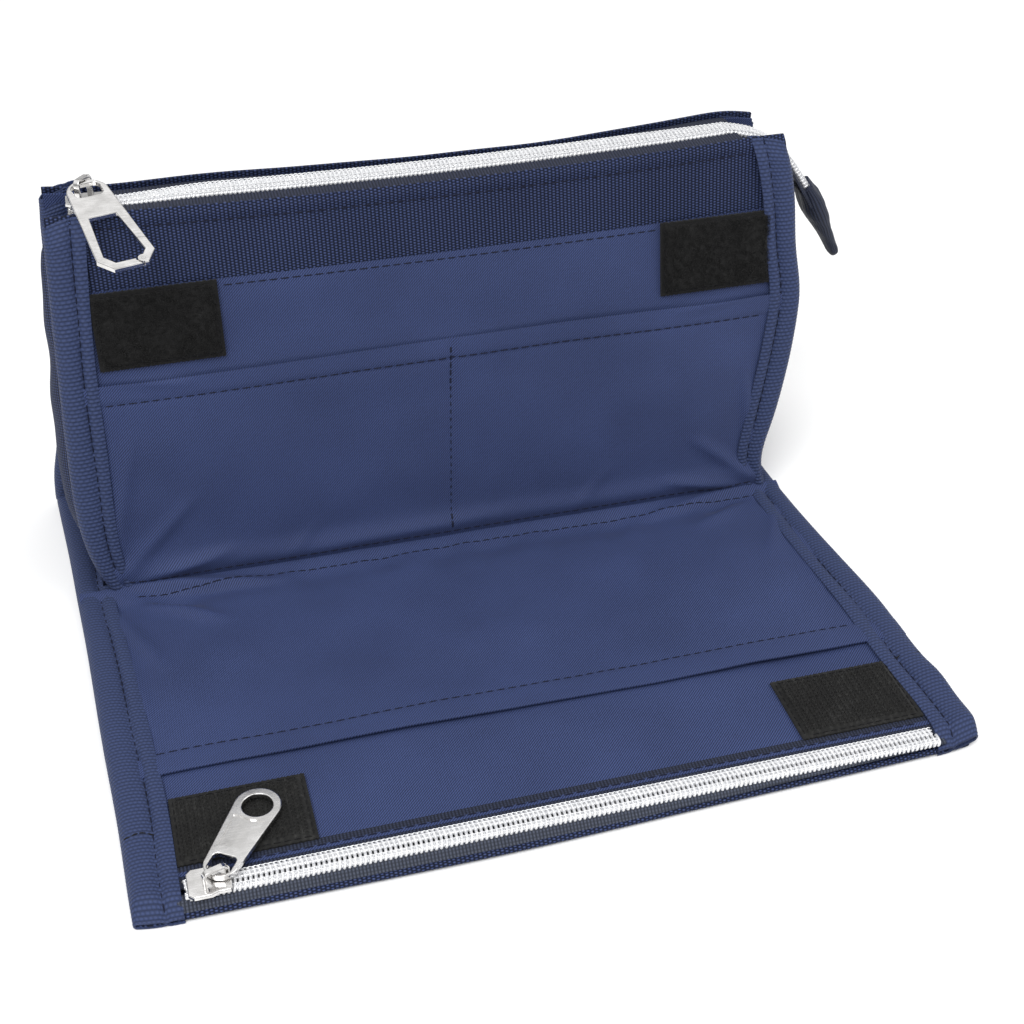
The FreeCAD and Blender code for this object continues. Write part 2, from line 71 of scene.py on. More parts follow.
# ---- outlines and places, in millimetres ----
def spline(points):
    """Natural cubic curve through (place, value) points."""
    x, y = np.array(points, float).T
    n, h = len(x), np.diff(x)
    a, r = np.eye(n), np.zeros(n)
    for i in range(1, n - 1):
        a[i, i - 1 : i + 2] = h[i - 1], 2 * (h[i - 1] + h[i]), h[i]
        r[i] = 6 * ((y[i + 1] - y[i]) / h[i] - (y[i] - y[i - 1]) / h[i - 1])
    m = np.linalg.solve(a, r)

    def at(t):
        t = np.clip(np.asarray(t, float), x[0], x[-1])
        i = np.clip(np.searchsorted(x, t) - 1, 0, n - 2)
        p, q, g = x[i + 1] - t, t - x[i], h[i]
        cubic = (m[i] * p**3 + m[i + 1] * q**3) / (6 * g)
        return cubic + (y[i] / g - m[i] * g / 6) * p + (y[i + 1] / g - m[i + 1] * g / 6) * q

    return at


BASE_BACK = 50
FRONT_LEAN, BACK_LEAN = 10, -7
FLAP_ZIP = 106.9
# Side edges of the panels: distance from the middle, by distance in front of the ridge seam or up the panel.
FLAP_LEFT = spline([
    (-50, 108), (-38, 107.2), (-19, 105.9), (0, 104.9), (16, 104),
    (40, 103), (61, 102.1), (84, 100.9), (102, 100.4), (114.5, 100),
])
FLAP_RIGHT = spline([
    (-50, 95), (-25, 93.2), (-9, 93.2), (15, 94.6), (42, 97.5),
    (57, 99), (74, 99.4), (90, 100.3), (104, 100.4), (109, 99.4), (114.5, 97),
])
FRONT_LEFT = spline([
    (0, 95.6), (8, 98.8), (20, 101), (40, 100.8), (61, 99.6), (85, 98), (105, 96.6),
])
FRONT_RIGHT = spline([
    (0, 90), (9, 88.7), (20, 91.6), (30, 94.4), (40, 96.6), (48, 97.9),
    (59, 98.7), (70, 97.3), (84, 96.4), (105, 92.6),
])
BACK_LEFT = spline([
    (0, 108.2), (12, 107), (20, 105.2), (28, 103.8), (43, 102), (58, 100.8), (80, 98.9), (103, 97.2),
])
BACK_RIGHT = spline([(0, 95), (50, 94), (103, 92.6)])
# Top edge of the back and front edge of the flap, by x.
BACK_TOP = spline([
    (-110, 103.2), (-97, 102.8), (-88, 101.8), (-69, 101.4), (-24, 100.2),
    (22, 99.6), (61, 101.2), (75, 102.3), (84, 102.6), (94, 101),
])
FLAP_TIP = spline([
    (-100, 112.5), (-54, 112.9), (-17, 113), (28, 111.7), (66, 110.8), (92, 110), (102, 109.6),
])
SIDES = (("left", -1), ("right", 1))


def joined(*parts):
    """Points, or pairs, from their separate coordinates."""
    return np.stack(np.broadcast_arrays(*parts), -1)


def leaning(x, d, n, y0, z0, degrees):
    """Point on a panel that leans: x across, d up it, n out of its face towards -Y."""
    c, s = sin(radians(degrees)), cos(radians(degrees))
    return joined(x, y0 + d * c - n * s, z0 + d * s + n * c)


def on_flap(x, d, n):
    """d is the distance in front of the ridge seam, n the height above the table."""
    return joined(x, -d, n)


def on_front(x, d, n):
    return leaning(x, d, n, 0, 3, FRONT_LEAN)


def on_back(x, d, n):
    return leaning(x, d, n, BASE_BACK, 0.6, BACK_LEAN)


def on_main_zip(x, v, w):
    """v is across the chain towards the back, w out of its face. The chain leans back at its slider only."""
    ease = step((x + 84) / 30)
    tilt = np.radians(8 - 14 * ease + 4 * step((x - 50) / 30))
    c, s = np.cos(tilt), np.sin(tilt)
    return joined(x, 24.93 + (v + 3.1) * c + w * s, 101.03 + 0.5 * ease - (v + 3.1) * s + w * c)


def on_flap_zip(x, v, w):
    return joined(x, v - FLAP_ZIP, 3.05 + w)


def sag(x, depth=1.9):
    """How far the top edge of the pouch droops between its corners."""
    return depth * np.clip(1 - (np.asarray(x, float) / 84) ** 2, 0, 1)


def level(x):
    """The lift or droop of an edge that has none."""
    return 0 * x


def step(t):
    """0 up to 0 and 1 from 1, with a smooth rise between."""
    t = np.clip(t, 0, 1)
    return t * t * (3 - 2 * t)


RIPPLE_WAVES = 9


def ripple(u, v, size, seed):
    """Gentle unevenness of cloth from -1 to 1, with waves about size long."""
    draw = np.random.default_rng(seed)
    total = 0
    for _ in range(RIPPLE_WAVES):
        angle, phase = draw.uniform(0, pi), draw.uniform(0, 2 * pi)
        length = size * draw.uniform(0.7, 1.6)
        total = total + np.sin((u * cos(angle) + v * sin(angle)) * 2 * pi / length + phase)
    return total / RIPPLE_WAVES**0.5 / 1.4


def hump(x, middle, width):
    """1 at the middle, falling smoothly to 0 on both sides."""
    return np.exp(-(((x - middle) / width) ** 2))


def creases(u, v, lines):
    """Height of soft folds, each from one point to another: (u0, v0, u1, v1, height, width)."""
    total = np.zeros(np.broadcast(u, v).shape)
    for u0, v0, u1, v1, height, width in lines:
        du, dv = u1 - u0, v1 - v0
        long = hypot(du, dv)
        s = ((u - u0) * du + (v - v0) * dv) / long**2
        t = ((v - v0) * du - (u - u0) * dv) / long
        total = total + height * np.clip(1 - (2 * s - 1) ** 2, 0, 1) * hump(t, 0, width)
    return total


# ---- mesh making ----
def add_mesh(name, points, faces, material, uv=None, crisp=48):
    """Object from points in millimetres. uv is one (u, v) per point, in millimetres along the cloth."""
    mesh = bpy.data.meshes.new(name)
    places = (np.asarray(points, float).reshape(-1, 3) * MM).tolist()
    mesh.from_pydata(places, [], [list(map(int, f)) for f in faces])
    if uv is not None:
        layer = mesh.uv_layers.new(name="cloth")
        at = np.zeros(len(mesh.loops), np.int32)
        mesh.loops.foreach_get("vertex_index", at)
        layer.data.foreach_set("uv", np.asarray(uv, float).reshape(-1, 2)[at].ravel())
    mesh.polygons.foreach_set("use_smooth", [True] * len(mesh.polygons))
    mesh.set_sharp_from_angle(angle=radians(crisp))
    mesh.materials.append(material)
    mesh.update()
    return add_object(name, mesh)


def grid(*axes):
    return np.meshgrid(*axes, indexing="ij")


def slab(name, top, bottom, uv, material):
    """Closed thin solid between two grids of points, rows by columns."""
    rows, columns = top.shape[:2]
    n = rows * columns
    i, j = grid(np.arange(rows - 1), np.arange(columns - 1))
    a = (i * columns + j).ravel()
    quads = np.stack([a, a + columns, a + columns + 1, a + 1], 1)
    ring = np.concatenate([
        np.arange(columns),
        np.arange(1, rows) * columns + columns - 1,
        (rows - 1) * columns + np.arange(columns - 2, -1, -1),
        np.arange(rows - 2, 0, -1) * columns,
    ])
    after = np.roll(ring, -1)
    sides = np.stack([ring, ring + n, after + n, after], 1)
    faces = np.concatenate([quads[:, ::-1], quads + n, sides[:, ::-1]])
    both = np.concatenate([uv.reshape(-1, 2)] * 2)
    return add_mesh(name, np.concatenate([top.reshape(-1, 3), bottom.reshape(-1, 3)]), faces, material, both)


def panel(name, side, span, face, thick, material, rows, columns, wavy=None, inset=0.7):
    """Cloth layer of a panel. side is the panel's placing and two edges, span the layer's two ends,
    face(x, d) the height of its upper face, and wavy(x, t) moves its rows along the panel."""
    place, left, right = side
    t, u = grid(np.linspace(0, 1, rows), np.linspace(0, 1, columns))
    d = span[0] + (span[1] - span[0]) * t
    low, high = -(left(d) - inset), right(d) - inset
    x = low + (high - low) * u
    if wavy is not None:
        d = d + wavy(x, t)
    n = face(x, d)
    return slab(name, place(x, d, n), place(x, d, n - thick), joined(x, d), material)


def sweep(name, points, uv, material, crisp):
    """Closed tube through stations of one closed ring of points each, with flat ends."""
    stations, ring = points.shape[:2]
    i, j = grid(np.arange(stations - 1), np.arange(ring))
    a, b = (i * ring + j).ravel(), (i * ring + (j + 1) % ring).ravel()
    faces = np.stack([a, a + ring, b + ring, b], 1).tolist()
    faces.append(list(range(ring)))
    faces.append([(stations - 1) * ring + k for k in range(ring - 1, -1, -1)])
    return add_mesh(name, points, faces, material, uv, crisp)


def tubes(name, lines, radius, sides, material):
    """One mesh of round threads. lines is (threads, points, 3); radius is a number, or one for each point."""
    lines = np.asarray(lines, float)
    count, steps = lines.shape[:2]
    along = np.gradient(lines, axis=1)
    along /= np.linalg.norm(along, axis=-1, keepdims=True) + 1e-12
    helper = np.where(np.abs(along[:, :1, 2:3]) > 0.8, [[[1, 0, 0]]], [[[0, 0, 1]]])
    side = np.cross(along, np.broadcast_to(helper, along.shape))
    side /= np.linalg.norm(side, axis=-1, keepdims=True) + 1e-12
    up = np.cross(side, along)
    angle = np.arange(sides) * 2 * pi / sides
    wide = np.broadcast_to(radius, (count, steps))[..., None, None]
    rings = lines[:, :, None] + wide * (
        np.cos(angle)[:, None] * side[:, :, None] + np.sin(angle)[:, None] * up[:, :, None]
    )
    k, i, j = grid(np.arange(count), np.arange(steps - 1), np.arange(sides))
    a = ((k * steps + i) * sides + j).ravel()
    b = ((k * steps + i) * sides + (j + 1) % sides).ravel()
    faces = np.stack([a, b, b + sides, a + sides], 1).tolist()
    for n in range(count):
        first, last = n * steps * sides, (n * steps + steps - 1) * sides
        faces.append([first + j for j in range(sides - 1, -1, -1)])
        faces.append([last + j for j in range(sides)])
    steps_long = np.linalg.norm(np.diff(lines, axis=1), axis=-1)
    length = np.concatenate([np.zeros((count, 1)), np.cumsum(steps_long, 1)], 1)
    uv = joined(angle[None, None] / 6.3, length[..., None])
    return add_mesh(name, rings, faces, material, uv, 80)


def distances(route):
    """How far along a route each of its points is."""
    return np.concatenate([[0], np.cumsum(np.linalg.norm(np.diff(route, axis=0), axis=-1))])


def seam_path(place, x, d, n):
    """A route on a panel, with the direction out of the panel at each of its points."""
    route = place(x, d, n)
    return route, place(x, d, n + 1) - route


def stitches(name, paths, material, length=2.3, gap=0.55, radius=0.17):
    """Rows of sewn stitches along routes, each with the outward direction for each point."""
    sink = 0.1
    t = np.linspace(0, 1, 7)
    arch = np.sin(t * pi) ** 0.5 * (radius + sink) - sink - radius * 0.6
    lines = []
    for route, out in paths:
        far = distances(route)
        for start in np.arange(gap, far[-1] - length, length + gap):
            p, o = (
                np.stack([np.interp(start + t * length, far, part[:, k]) for k in range(3)], -1)
                for part in (route, out)
            )
            lines.append(p + o * arch[:, None])
    return tubes(name, lines, radius, 6, material)


# ---- materials ----
def set_stops(ramp, stops):
    """Give a colour ramp these (place, colour) stops."""
    marks = ramp.color_ramp.elements
    while len(marks) < len(stops):
        marks.new(0.5)
    for mark, (place, colour) in zip(marks, stops):
        mark.position = place
        mark.color = (*colour, 1)


def shades(base, *stops):
    """Ramp stops in one colour: (place, how bright)."""
    return [(place, tuple(min(1, c * factor) for c in base)) for place, factor in stops]


class Net:
    """A procedural material: small helpers round one Principled shader."""

    def __init__(self, name, roughness=0.7, metallic=0, sheen=0, specular=0.16):
        self.material = bpy.data.materials.new(name)
        self.material.use_nodes = True
        self.tree = self.material.node_tree
        self.shader = next(n for n in self.tree.nodes if n.type == "BSDF_PRINCIPLED")
        values = {"Roughness": roughness, "Metallic": metallic, "Sheen Weight": sheen}
        self.feed_shader({**values, "Specular IOR Level": specular})

    def feed_shader(self, values):
        for key, value in values.items():
            self.feed(self.shader.inputs[key], value)

    def node(self, kind, out=0, **inputs):
        made = self.tree.nodes.new("ShaderNode" + kind)
        for key, value in inputs.items():
            self.feed(made.inputs[key.replace("_", " ")], value)
        return made.outputs[out]

    def feed(self, socket, value):
        if isinstance(value, bpy.types.NodeSocket):
            self.tree.links.new(value, socket)
        else:
            socket.default_value = value

    def math(self, operation, a, b=0, c=0):
        made = self.tree.nodes.new("ShaderNodeMath")
        made.operation = operation
        for socket, value in zip(made.inputs, (a, b, c)):
            self.feed(socket, value)
        return made.outputs[0]

    def total(self, *parts):
        """Sum of (value, weight) pairs."""
        summed = 0
        for value, weight in parts:
            summed = self.math("MULTIPLY_ADD", value, weight, summed)
        return summed

    def cloth_uv(self):
        """Distances across and along the cloth, in millimetres: both in one, then each alone."""
        place = self.node("UVMap")
        place.node.uv_map = "cloth"
        parts = self.node("SeparateXYZ", Vector=place).node.outputs
        return place, parts[0], parts[1]

    def object_place(self):
        return self.node("TexCoord", out="Object")

    def noise(self, place, scale, detail=2, roughness=0.55):
        return self.node("TexNoise", out="Fac", Vector=place, Scale=scale, Detail=detail, Roughness=roughness)

    def wave(self, place, period):
        """0 to 1 and back once in every period."""
        return self.math("ABSOLUTE", self.math("SINE", self.math("MULTIPLY", place, pi / period)))

    def stagger(self, place, period, shift):
        """shift in every second row of this period, 0 in the rows between."""
        row = self.math("FLOOR", self.math("DIVIDE", place, period))
        return self.math("MULTIPLY", self.math("MODULO", self.math("ABSOLUTE", row), 2), shift)

    def finish(self, tone, stops, height, distance, strength, grain, smoothest=0.5, rougher=0.2):
        """Colour by tone, relief by height (distance is its depth in metres) and roughness by grain."""
        ramp = self.tree.nodes.new("ShaderNodeValToRGB")
        self.feed(ramp.inputs[0], tone)
        set_stops(ramp, stops)
        self.feed_shader({
            "Base Color": ramp.outputs[0],
            "Normal": self.node("Bump", out="Normal", Height=height, Distance=distance, Strength=strength),
            "Roughness": self.math("MULTIPLY_ADD", grain, rougher, smoothest),
        })
        return self.material


def twill_material(name, lean):
    """Fine diagonal lines. lean is the operation that says which way they slope."""
    net = Net(name, sheen=0.03)
    place, u, v = net.cloth_uv()
    weave = net.total((net.wave(net.math(lean, u, v), 0.75), 0.8), (net.wave(u, 0.6), 0.2))
    fine = net.noise(place, 1.4)
    tone = net.total((weave, 0.74), (fine, 0.2), (net.noise(place, 0.03, 4), 0.26))
    stops = shades((0.0217, 0.0315, 0.0805), (0.2, 0.15), (0.6, 1), (1, 2.4))
    return net.finish(tone, stops, weave, 0.00009, 0.7, fine)


def coarse_material():
    """Thick woven threads: rows of dots, every second column shifted by half a dot."""
    net = Net("dark_navy_oxford", specular=0.1)
    place, u, v = net.cloth_uv()
    shifted = net.math("ADD", v, net.stagger(u, 1, 0.36))
    dots = net.math("MULTIPLY", net.wave(u, 1), net.wave(shifted, 0.72))
    fine = net.noise(place, 2.2)
    tone = net.total((dots, 0.7), (fine, 0.22), (net.noise(place, 0.04, 3), 0.14))
    stops = shades((0.0135, 0.0190, 0.045), (0.15, 0.3), (0.48, 1), (0.92, 4.2))
    return net.finish(tone, stops, dots, 0.0002, 0.85, fine)


def binding_material():
    """Ribs across the tape, with threads over them in brick order."""
    net = Net("navy_binding", sheen=0.03)
    place, u, v = net.cloth_uv()
    brick = net.wave(net.math("ADD", u, net.stagger(v, RIB, 0.475)), 0.95)
    weave = net.math("MULTIPLY", net.wave(v, RIB), net.math("MULTIPLY_ADD", brick, 0.6, 0.4))
    fine = net.noise(place, 2)
    tone = net.total((weave, 0.7), (fine, 0.22), (net.noise(place, 0.05, 3), 0.16))
    stops = shades((0.029, 0.042, 0.100), (0.15, 0.55), (0.55, 1), (1, 1.6))
    return net.finish(tone, stops, weave, 0.00016, 0.8, fine)


def zip_tape_material(name, slate):
    net = Net(name, sheen=0.02)
    place, u, v = net.cloth_uv()
    weave = net.math("MULTIPLY", net.wave(u, 0.8), net.math("MULTIPLY_ADD", net.wave(v, 0.6), 0.5, 0.5))
    fine = net.noise(place, 2.4)
    stops = shades(slate, (0.1, 0.35), (0.55, 1), (1, 2.2))
    return net.finish(net.total((weave, 0.7), (fine, 0.3)), stops, weave, 0.00015, 0.8, fine)


def coil_material():
    net = Net("silver_coil", metallic=0.45, specular=0.5)
    fine = net.noise(net.object_place(), 900)
    stops = [(0.2, (0.68, 0.69, 0.71)), (0.75, (0.92, 0.92, 0.93))]
    return net.finish(fine, stops, fine, 0.00002, 0.3, fine, 0.22, 0.18)


def nickel_material():
    """Cast metal with long scratches."""
    net = Net("polished_nickel", metallic=1, specular=0.5)
    place = net.object_place()
    drawn_out = net.node("Mapping", Vector=place, Scale=(300, 2600, 2600))
    tone = net.total((net.noise(place, 260, 3), 0.7), (net.noise(drawn_out, 1), 0.3))
    stops = [(0.3, (0.57, 0.56, 0.55)), (0.68, (0.86, 0.85, 0.84))]
    return net.finish(tone, stops, tone, 0.00004, 0.35, tone, 0.06)


def pile_material(name, low, high, scale, rows):
    """Fibres with lighter specks. rows is how much the rows of hooks show."""
    net = Net(name, sheen=0.06, specular=0.25)
    place = net.object_place()
    fine = net.noise(place, scale, 4, 0.7)
    row = net.wave(net.cloth_uv()[1], 1.7)
    tone = net.total((fine, 0.75 - rows), (net.noise(place, 160), 0.25), (row, rows))
    stops = [(0.35, low), *shades(high, (0.56, 1), (0.72, 3))]
    return net.finish(tone, stops, fine, 0.0003, 0.9, fine, 0.65)


def thread_material(name, base):
    net = Net(name, sheen=0.02)
    _, u, v = net.cloth_uv()
    twist = net.wave(net.math("MULTIPLY_ADD", u, 0.6, v), 0.4)
    fine = net.noise(net.object_place(), 3000)
    tone = net.total((twist, 0.6), (fine, 0.4))
    return net.finish(tone, shades(base, (0.1, 0.5), (1, 1.5)), twist, 0.00005, 0.6, fine)


RIB = 1.05
TWILL = twill_material("navy_twill", "SUBTRACT")
FLAP_TWILL = twill_material("navy_flap_twill", "ADD")
COARSE = coarse_material()
BINDING = binding_material()
TAPE = zip_tape_material("slate_zip_tape", (0.036, 0.042, 0.060))
# The same zipper tape, darkened: painted shade for the main zipper's tapes, its end and tail, and the flap
# zipper's rear tape.
SHADED_TAPE = zip_tape_material("shaded_zip_tape", (0.017, 0.021, 0.038))
COIL = coil_material()
NICKEL = nickel_material()
LOOP = pile_material("black_loop_pile", (0.0012, 0.0012, 0.0012), (0.005, 0.005, 0.005), 1400, 0)
HOOK = pile_material("black_hook_pile", (0.0025, 0.0025, 0.0025), (0.011, 0.011, 0.0105), 1000, 0.1)
THREAD = thread_material("navy_thread", (0.007, 0.009, 0.023))
BLACK_THREAD = thread_material("black_thread", (0.008, 0.008, 0.009))

# Joints that pieces cross: their two bodies, and from where to where, in metres, a piece would go over to the
# second. Only the names are read here.
BLENDS = {
    "fold": ("pouch", "flap", (0, -0.0095, 0.001), (0, -0.0185, 0.001)),
    "twist": ("pouch", "back", (0.076, 0, 0), (-0.083, 0, 0)),
    "stretch": ("pouch", "back", (0, 0.020, 0.05), (0, 0.034, 0.05)),
}

# How each panel is placed, and its left and right edges.
FLAP_SIDE = (on_flap, FLAP_LEFT, FLAP_RIGHT)
FRONT_SIDE = (on_front, FRONT_LEFT, FRONT_RIGHT)
BACK_SIDE = (on_back, BACK_LEFT, BACK_RIGHT)
LINING_THICK, POCKET_THICK, INSIDE_THICK, COARSE_THICK = 0.45, 0.4, 0.5, 0.8


def hold(piece, body, slot, *nodes):
    """Which body a piece moves with, and the CAD nodes that it stands for; a piece given a blend only has its
    placing baked in. slot, its material slot, is not used.
    """
    if body in BLENDS:
        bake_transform(piece)
    else:
        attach(piece, body)
    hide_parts(*nodes)
    return piece


def lay(name, body, slot, nodes, flat, *args, **more):
    """A panel's cloth layer, and what it moves with and stands for. flat, its flat size, is not used."""
    hold(panel(name, *args, **more), body, slot, *nodes)


# ---- flap ----
FLAP_CREASES = [
    (-96, 2, -66, 20, 1.9, 2.2), (-97, 7, -84, 36, 1.2, 2), (-95, 0, -48, 7, 2.1, 1.7),
    (-94, 5, -72, 11, -0.9, 1.5), (-97, 12, -90, 58, 0.8, 1.8),
    (90, 2, 62, 15, 1.4, 2.2), (91, 6, 78, 32, 1.1, 2), (90, 0, 48, 6, 1.4, 1.7),
    (88, 4, 68, 9, -0.8, 1.5), (92, 10, 86, 50, 0.7, 1.8),
]


def spine_rise(d):
    """The lining climbs to the ridge seam and folds in a soft valley in front of it."""
    return 1.6 * hump(d, 0, 3) - 0.5 * hump(d, 7.5, 3)


def flap_wave(x, d):
    """Creases from the flap's corners, gathers along the ridge seam and gentle waves."""
    ends = creases(x, d, FLAP_CREASES)
    calm = step((96 - np.abs(x)) / 14) * step((d + 2) / 8)
    gathers = 0.55 * ripple(x, d * 0.35, 9, 8) * hump(d, 8, 5)
    broad = 0.34 * ripple(x, d, 46, 3) + 0.22 * ripple(x, d * 2.4, 60, 5)
    return spine_rise(d) + ends + calm * (broad + 0.06 * ripple(x, d, 13, 6) + gathers)


def flap_lining_face(x, d):
    return 2.85 + flap_wave(x, d) * step((104 - d) / 30) + 0.4 * step((d - 100.6) / 1.2)


lay(
    "flap_lining", "fold", "twill_lining",
    ["flap_inner_panel", "spine_lining", "spine_padding", "flap_pocket_lining", "flap_board"], (202, 103),
    FLAP_SIDE, (0.2, 102.7), flap_lining_face, LINING_THICK, FLAP_TWILL, 90, 150,
)


def mouth(x):
    """The pocket's mouth stands slightly proud where the cloth is slack."""
    return 0.35 + 0.55 * hump(x, -30, 34) + 0.8 * hump(x, 62, 20)


def flap_pocket_face(x, d):
    lift = mouth(x) * step((d - 52) / 20)
    hem = 0.28 * step((d - 63.6) / 0.9) - 0.22 * hump(d, 64.3, 0.7)
    return 3.2 + flap_wave(x, d) + lift + hem


lay(
    "flap_pocket", "fold", "twill_lining", ["flap_slip_pocket"], (202, 72),
    FLAP_SIDE, (0.4, 71.5), flap_pocket_face, POCKET_THICK, FLAP_TWILL, 110, 150,
    wavy=lambda x, t: 0.5 * np.sin(x / 33) * t**6,
)


def outer_shell():
    """Coarse cloth under the flap and base. It rolls up and over the flap's front edge as a narrow lip."""
    back, thick, rows, columns = -47, 0.55, 130, 110
    # The lip, row by row: how far short of the flap's front edge it is, and its height.
    roll_back = np.array([1.3, 0.7, 0.3, 0.08, 0, 0.03, 0.12, 0.3, 0.6, 1, 1.5])
    roll_z = np.array([0.05, 0.2, 0.42, 0.65, 0.9, 1.15, 1.38, 1.55, 1.62, 1.6, 1.45])
    u = np.linspace(0, 1, columns)
    t = np.concatenate([np.linspace(0, 1, rows), np.ones(len(roll_back))])
    short = np.concatenate([np.full(rows, 2), roll_back])
    z = np.concatenate([np.zeros(rows), roll_z])
    guess = back + (112 - back) * t
    tuck = 1.2 + 9.4 * step(z - 0.15)
    low, high = -(FLAP_LEFT(guess) - tuck), FLAP_RIGHT(guess) - tuck
    x = low[:, None] + (high - low)[:, None] * u
    long = FLAP_TIP(x) - back
    d = back + long * t[:, None]
    d = d - (d - back) / long * short[:, None]
    from_side = np.minimum(FLAP_LEFT(d) + x, FLAP_RIGHT(d) - x)
    under = z[:, None] < 0.1
    height = z[:, None] + (0.7 * step((12.5 - from_side) / 2) + np.abs(0.12 * ripple(x, d, 30, 11))) * under
    section = joined(d[:, columns // 2], z)
    along = np.gradient(section, axis=0)
    inward = joined(-along[:, 1], along[:, 0]) / np.linalg.norm(along, axis=1, keepdims=True) * thick
    outer = on_flap(x, d, height)
    inner = on_flap(x, d + inward[:, :1], height + inward[:, 1:])
    uv = joined(x, distances(section)[:, None])
    return slab("outer_shell", inner, outer, uv, COARSE)


hold(outer_shell(), "fold", "coarse_cloth", "flap_shell", "base_shell", "base_board")


# ---- pouch, front panel ----
def front_bulge(x, d):
    """The pockets belly forward a little, and roll under to the ridge seam."""
    side = step((94 - np.abs(x)) / 20)
    roll = 1.5 * hump(d, 5, 3.4) * (0.5 + 0.5 * side)
    belly = 0.9 * side * np.sin(np.clip(d / 60, 0, 1) * pi)
    return roll + belly


FRONT_CREASES = [
    (-94, 3, -70, 26, 1.2, 2), (-93, 10, -84, 46, 1, 1.8), (-92, 2, -60, 9, 1.2, 1.6),
    (88, 2, 66, 20, 1.2, 2), (86, 8, 82, 40, 1, 1.8), (86, 1, 56, 8, 1.1, 1.6),
    (-60, 3, 20, 7, 0.4, 1.8), (-86, 58.6, -66, 56, 0.6, 1.4), (60, 57, 86, 59, 0.6, 1.4),
    (-50, 2, -38, 14, 0.5, 1.5), (30, 2, 44, 16, 0.5, 1.5), (6, 4, 10, 22, 0.4, 1.4),
]


def front_wave(x, d):
    calm = step((96 - np.abs(x)) / 12)
    waves = 0.32 * ripple(x, d, 50, 21) + 0.18 * ripple(x, d * 2, 40, 23) + 0.06 * ripple(x, d, 12, 24)
    return creases(x, d, FRONT_CREASES) + calm * waves


def front_lining_face(x, d):
    return -0.05 + front_bulge(x, d) + front_wave(x, d) * step((84 - d) / 20)


lay(
    "front_lining", "pouch", "twill_lining", ["front_lining_panel"], (194, 82),
    FRONT_SIDE, (0.3, 82.3), front_lining_face, LINING_THICK, TWILL, 80, 150,
    wavy=lambda x, t: -sag(x, 0.9) * t**3,
)


def divider_x(d):
    """The seam that divides the front pocket, leaning a little."""
    return -2 + (d - 27) * 0.06


def front_pocket_face(x, d):
    gap = (0.3 + 0.5 * hump(x, 45, 30) + 0.35 * hump(x, -48, 26)) * step((d - 40) / 18)
    seam = -0.75 * hump(x, divider_x(d), 1.3) * step((d - 3) / 6)
    hem = 0.28 * step((d - 52.4) / 0.9) - 0.22 * hump(d, 53, 0.7)
    return 0.45 + front_bulge(x, d) + front_wave(x, d) + gap + seam + hem


lay(
    "front_pocket", "pouch", "twill_lining", ["front_slip_pocket"], (194, 59),
    FRONT_SIDE, (0.4, 58.7), front_pocket_face, POCKET_THICK, TWILL, 110, 150,
    wavy=lambda x, t: (0.5 * np.sin(x / 30 + 1) - sag(x, 0.6)) * t**6,
)


def front_top(x, t):
    return -sag(x) * t**2


def front_wall_face(x, d):
    return -0.4 + 0.5 * hump(d, 99.6 - sag(x), 1.5) + 0.15 * ripple(x, d, 40, 31)


lay(
    "front_wall_cloth", "pouch", "coarse_cloth", ["front_wall", "front_stiffener"], (194, 46),
    FRONT_SIDE, (56, 101.6), front_wall_face, COARSE_THICK, COARSE, 70, 150,
    wavy=front_top,
)
lay(
    "front_inside_lining", "pouch", "twill_lining", ["front_inner_lining"], (192, 98),
    FRONT_SIDE, (2.4, 100.6), lambda x, d: -1.5 + 0.12 * ripple(x, d, 36, 33),
    INSIDE_THICK, TWILL, 60, 90, wavy=front_top, inset=1,
)
lay(
    "base_inside_lining", "pouch", "twill_lining", ["base_lining"], (198, 44),
    FLAP_SIDE, (-3.4, -47), lambda x, d: 2.3 + 0.2 * ripple(x, d, 30, 35),
    INSIDE_THICK, TWILL, 40, 90, inset=1,
)


# ---- pouch, back panel ----
def back_slump(x, d):
    """The back wall bows outwards a little between its bindings."""
    return -1.6 * step((98 - np.abs(x)) / 30) * np.sin(np.clip(d / 96, 0, 1) * pi)


BACK_CREASES = [
    (-90, 14, -40, 30, 0.7, 4), (92, 20, 50, 34, 0.6, 4), (-30, 8, 50, 12, 0.5, 3),
    (-80, 84, -20, 78, 0.5, 4),
]


def back_face(x, d):
    return back_slump(x, d) - creases(x, d, BACK_CREASES) + 0.25 * ripple(x, d, 44, 41)


def back_top(x, t):
    return (BACK_TOP(x) - 101.4) * t**2


def back_wall():
    """Coarse cloth from under the base, round the bottom edge and up the back."""
    rows, columns, bend = 80, 120, 4
    d = np.linspace(3.2, 101.4, rows)[:, None]
    t = np.linspace(0, 1, rows)[:, None]
    low, high = -(BACK_LEFT(d) - 1.2), BACK_RIGHT(d) - 1.2
    x = low + (high - low) * np.linspace(0, 1, columns)
    face = back_face(x, d) * step((d - 2) / 10)
    turn = np.linspace(0, 1, 10)[:-1, None] * pi / 2
    edge = on_back(x, d + back_top(x, t), face)[0]

    def layer(inset):
        """The cloth's outer face, or a layer this far inside it."""
        upper = on_back(x, d + back_top(x, t), face + inset)
        low_z = 0.05 + inset
        y = edge[:, 1] - bend + (bend - inset) * np.sin(turn)
        z = low_z + (edge[:, 2] - low_z) * (1 - np.cos(turn)) + inset * 0.2 * np.sin(turn)
        return np.concatenate([joined(x[0], y, z), upper])

    outer = layer(0)
    uv = joined(outer[..., 0], distances(outer[:, columns // 2])[:, None])
    return slab("back_wall", layer(COARSE_THICK), outer, uv, COARSE)


hold(back_wall(), "twist", "coarse_cloth", "back_shell", "back_board")
lay(
    "back_inside_lining", "twist", "twill_lining", ["back_lining"], (196, 97),
    BACK_SIDE, (3.4, 100.4),
    lambda x, d: 2.2 + back_slump(x, d) * 0.8 + 0.15 * ripple(x, d, 36, 43),
    INSIDE_THICK, TWILL, 60, 90, wavy=back_top, inset=1.4,
)


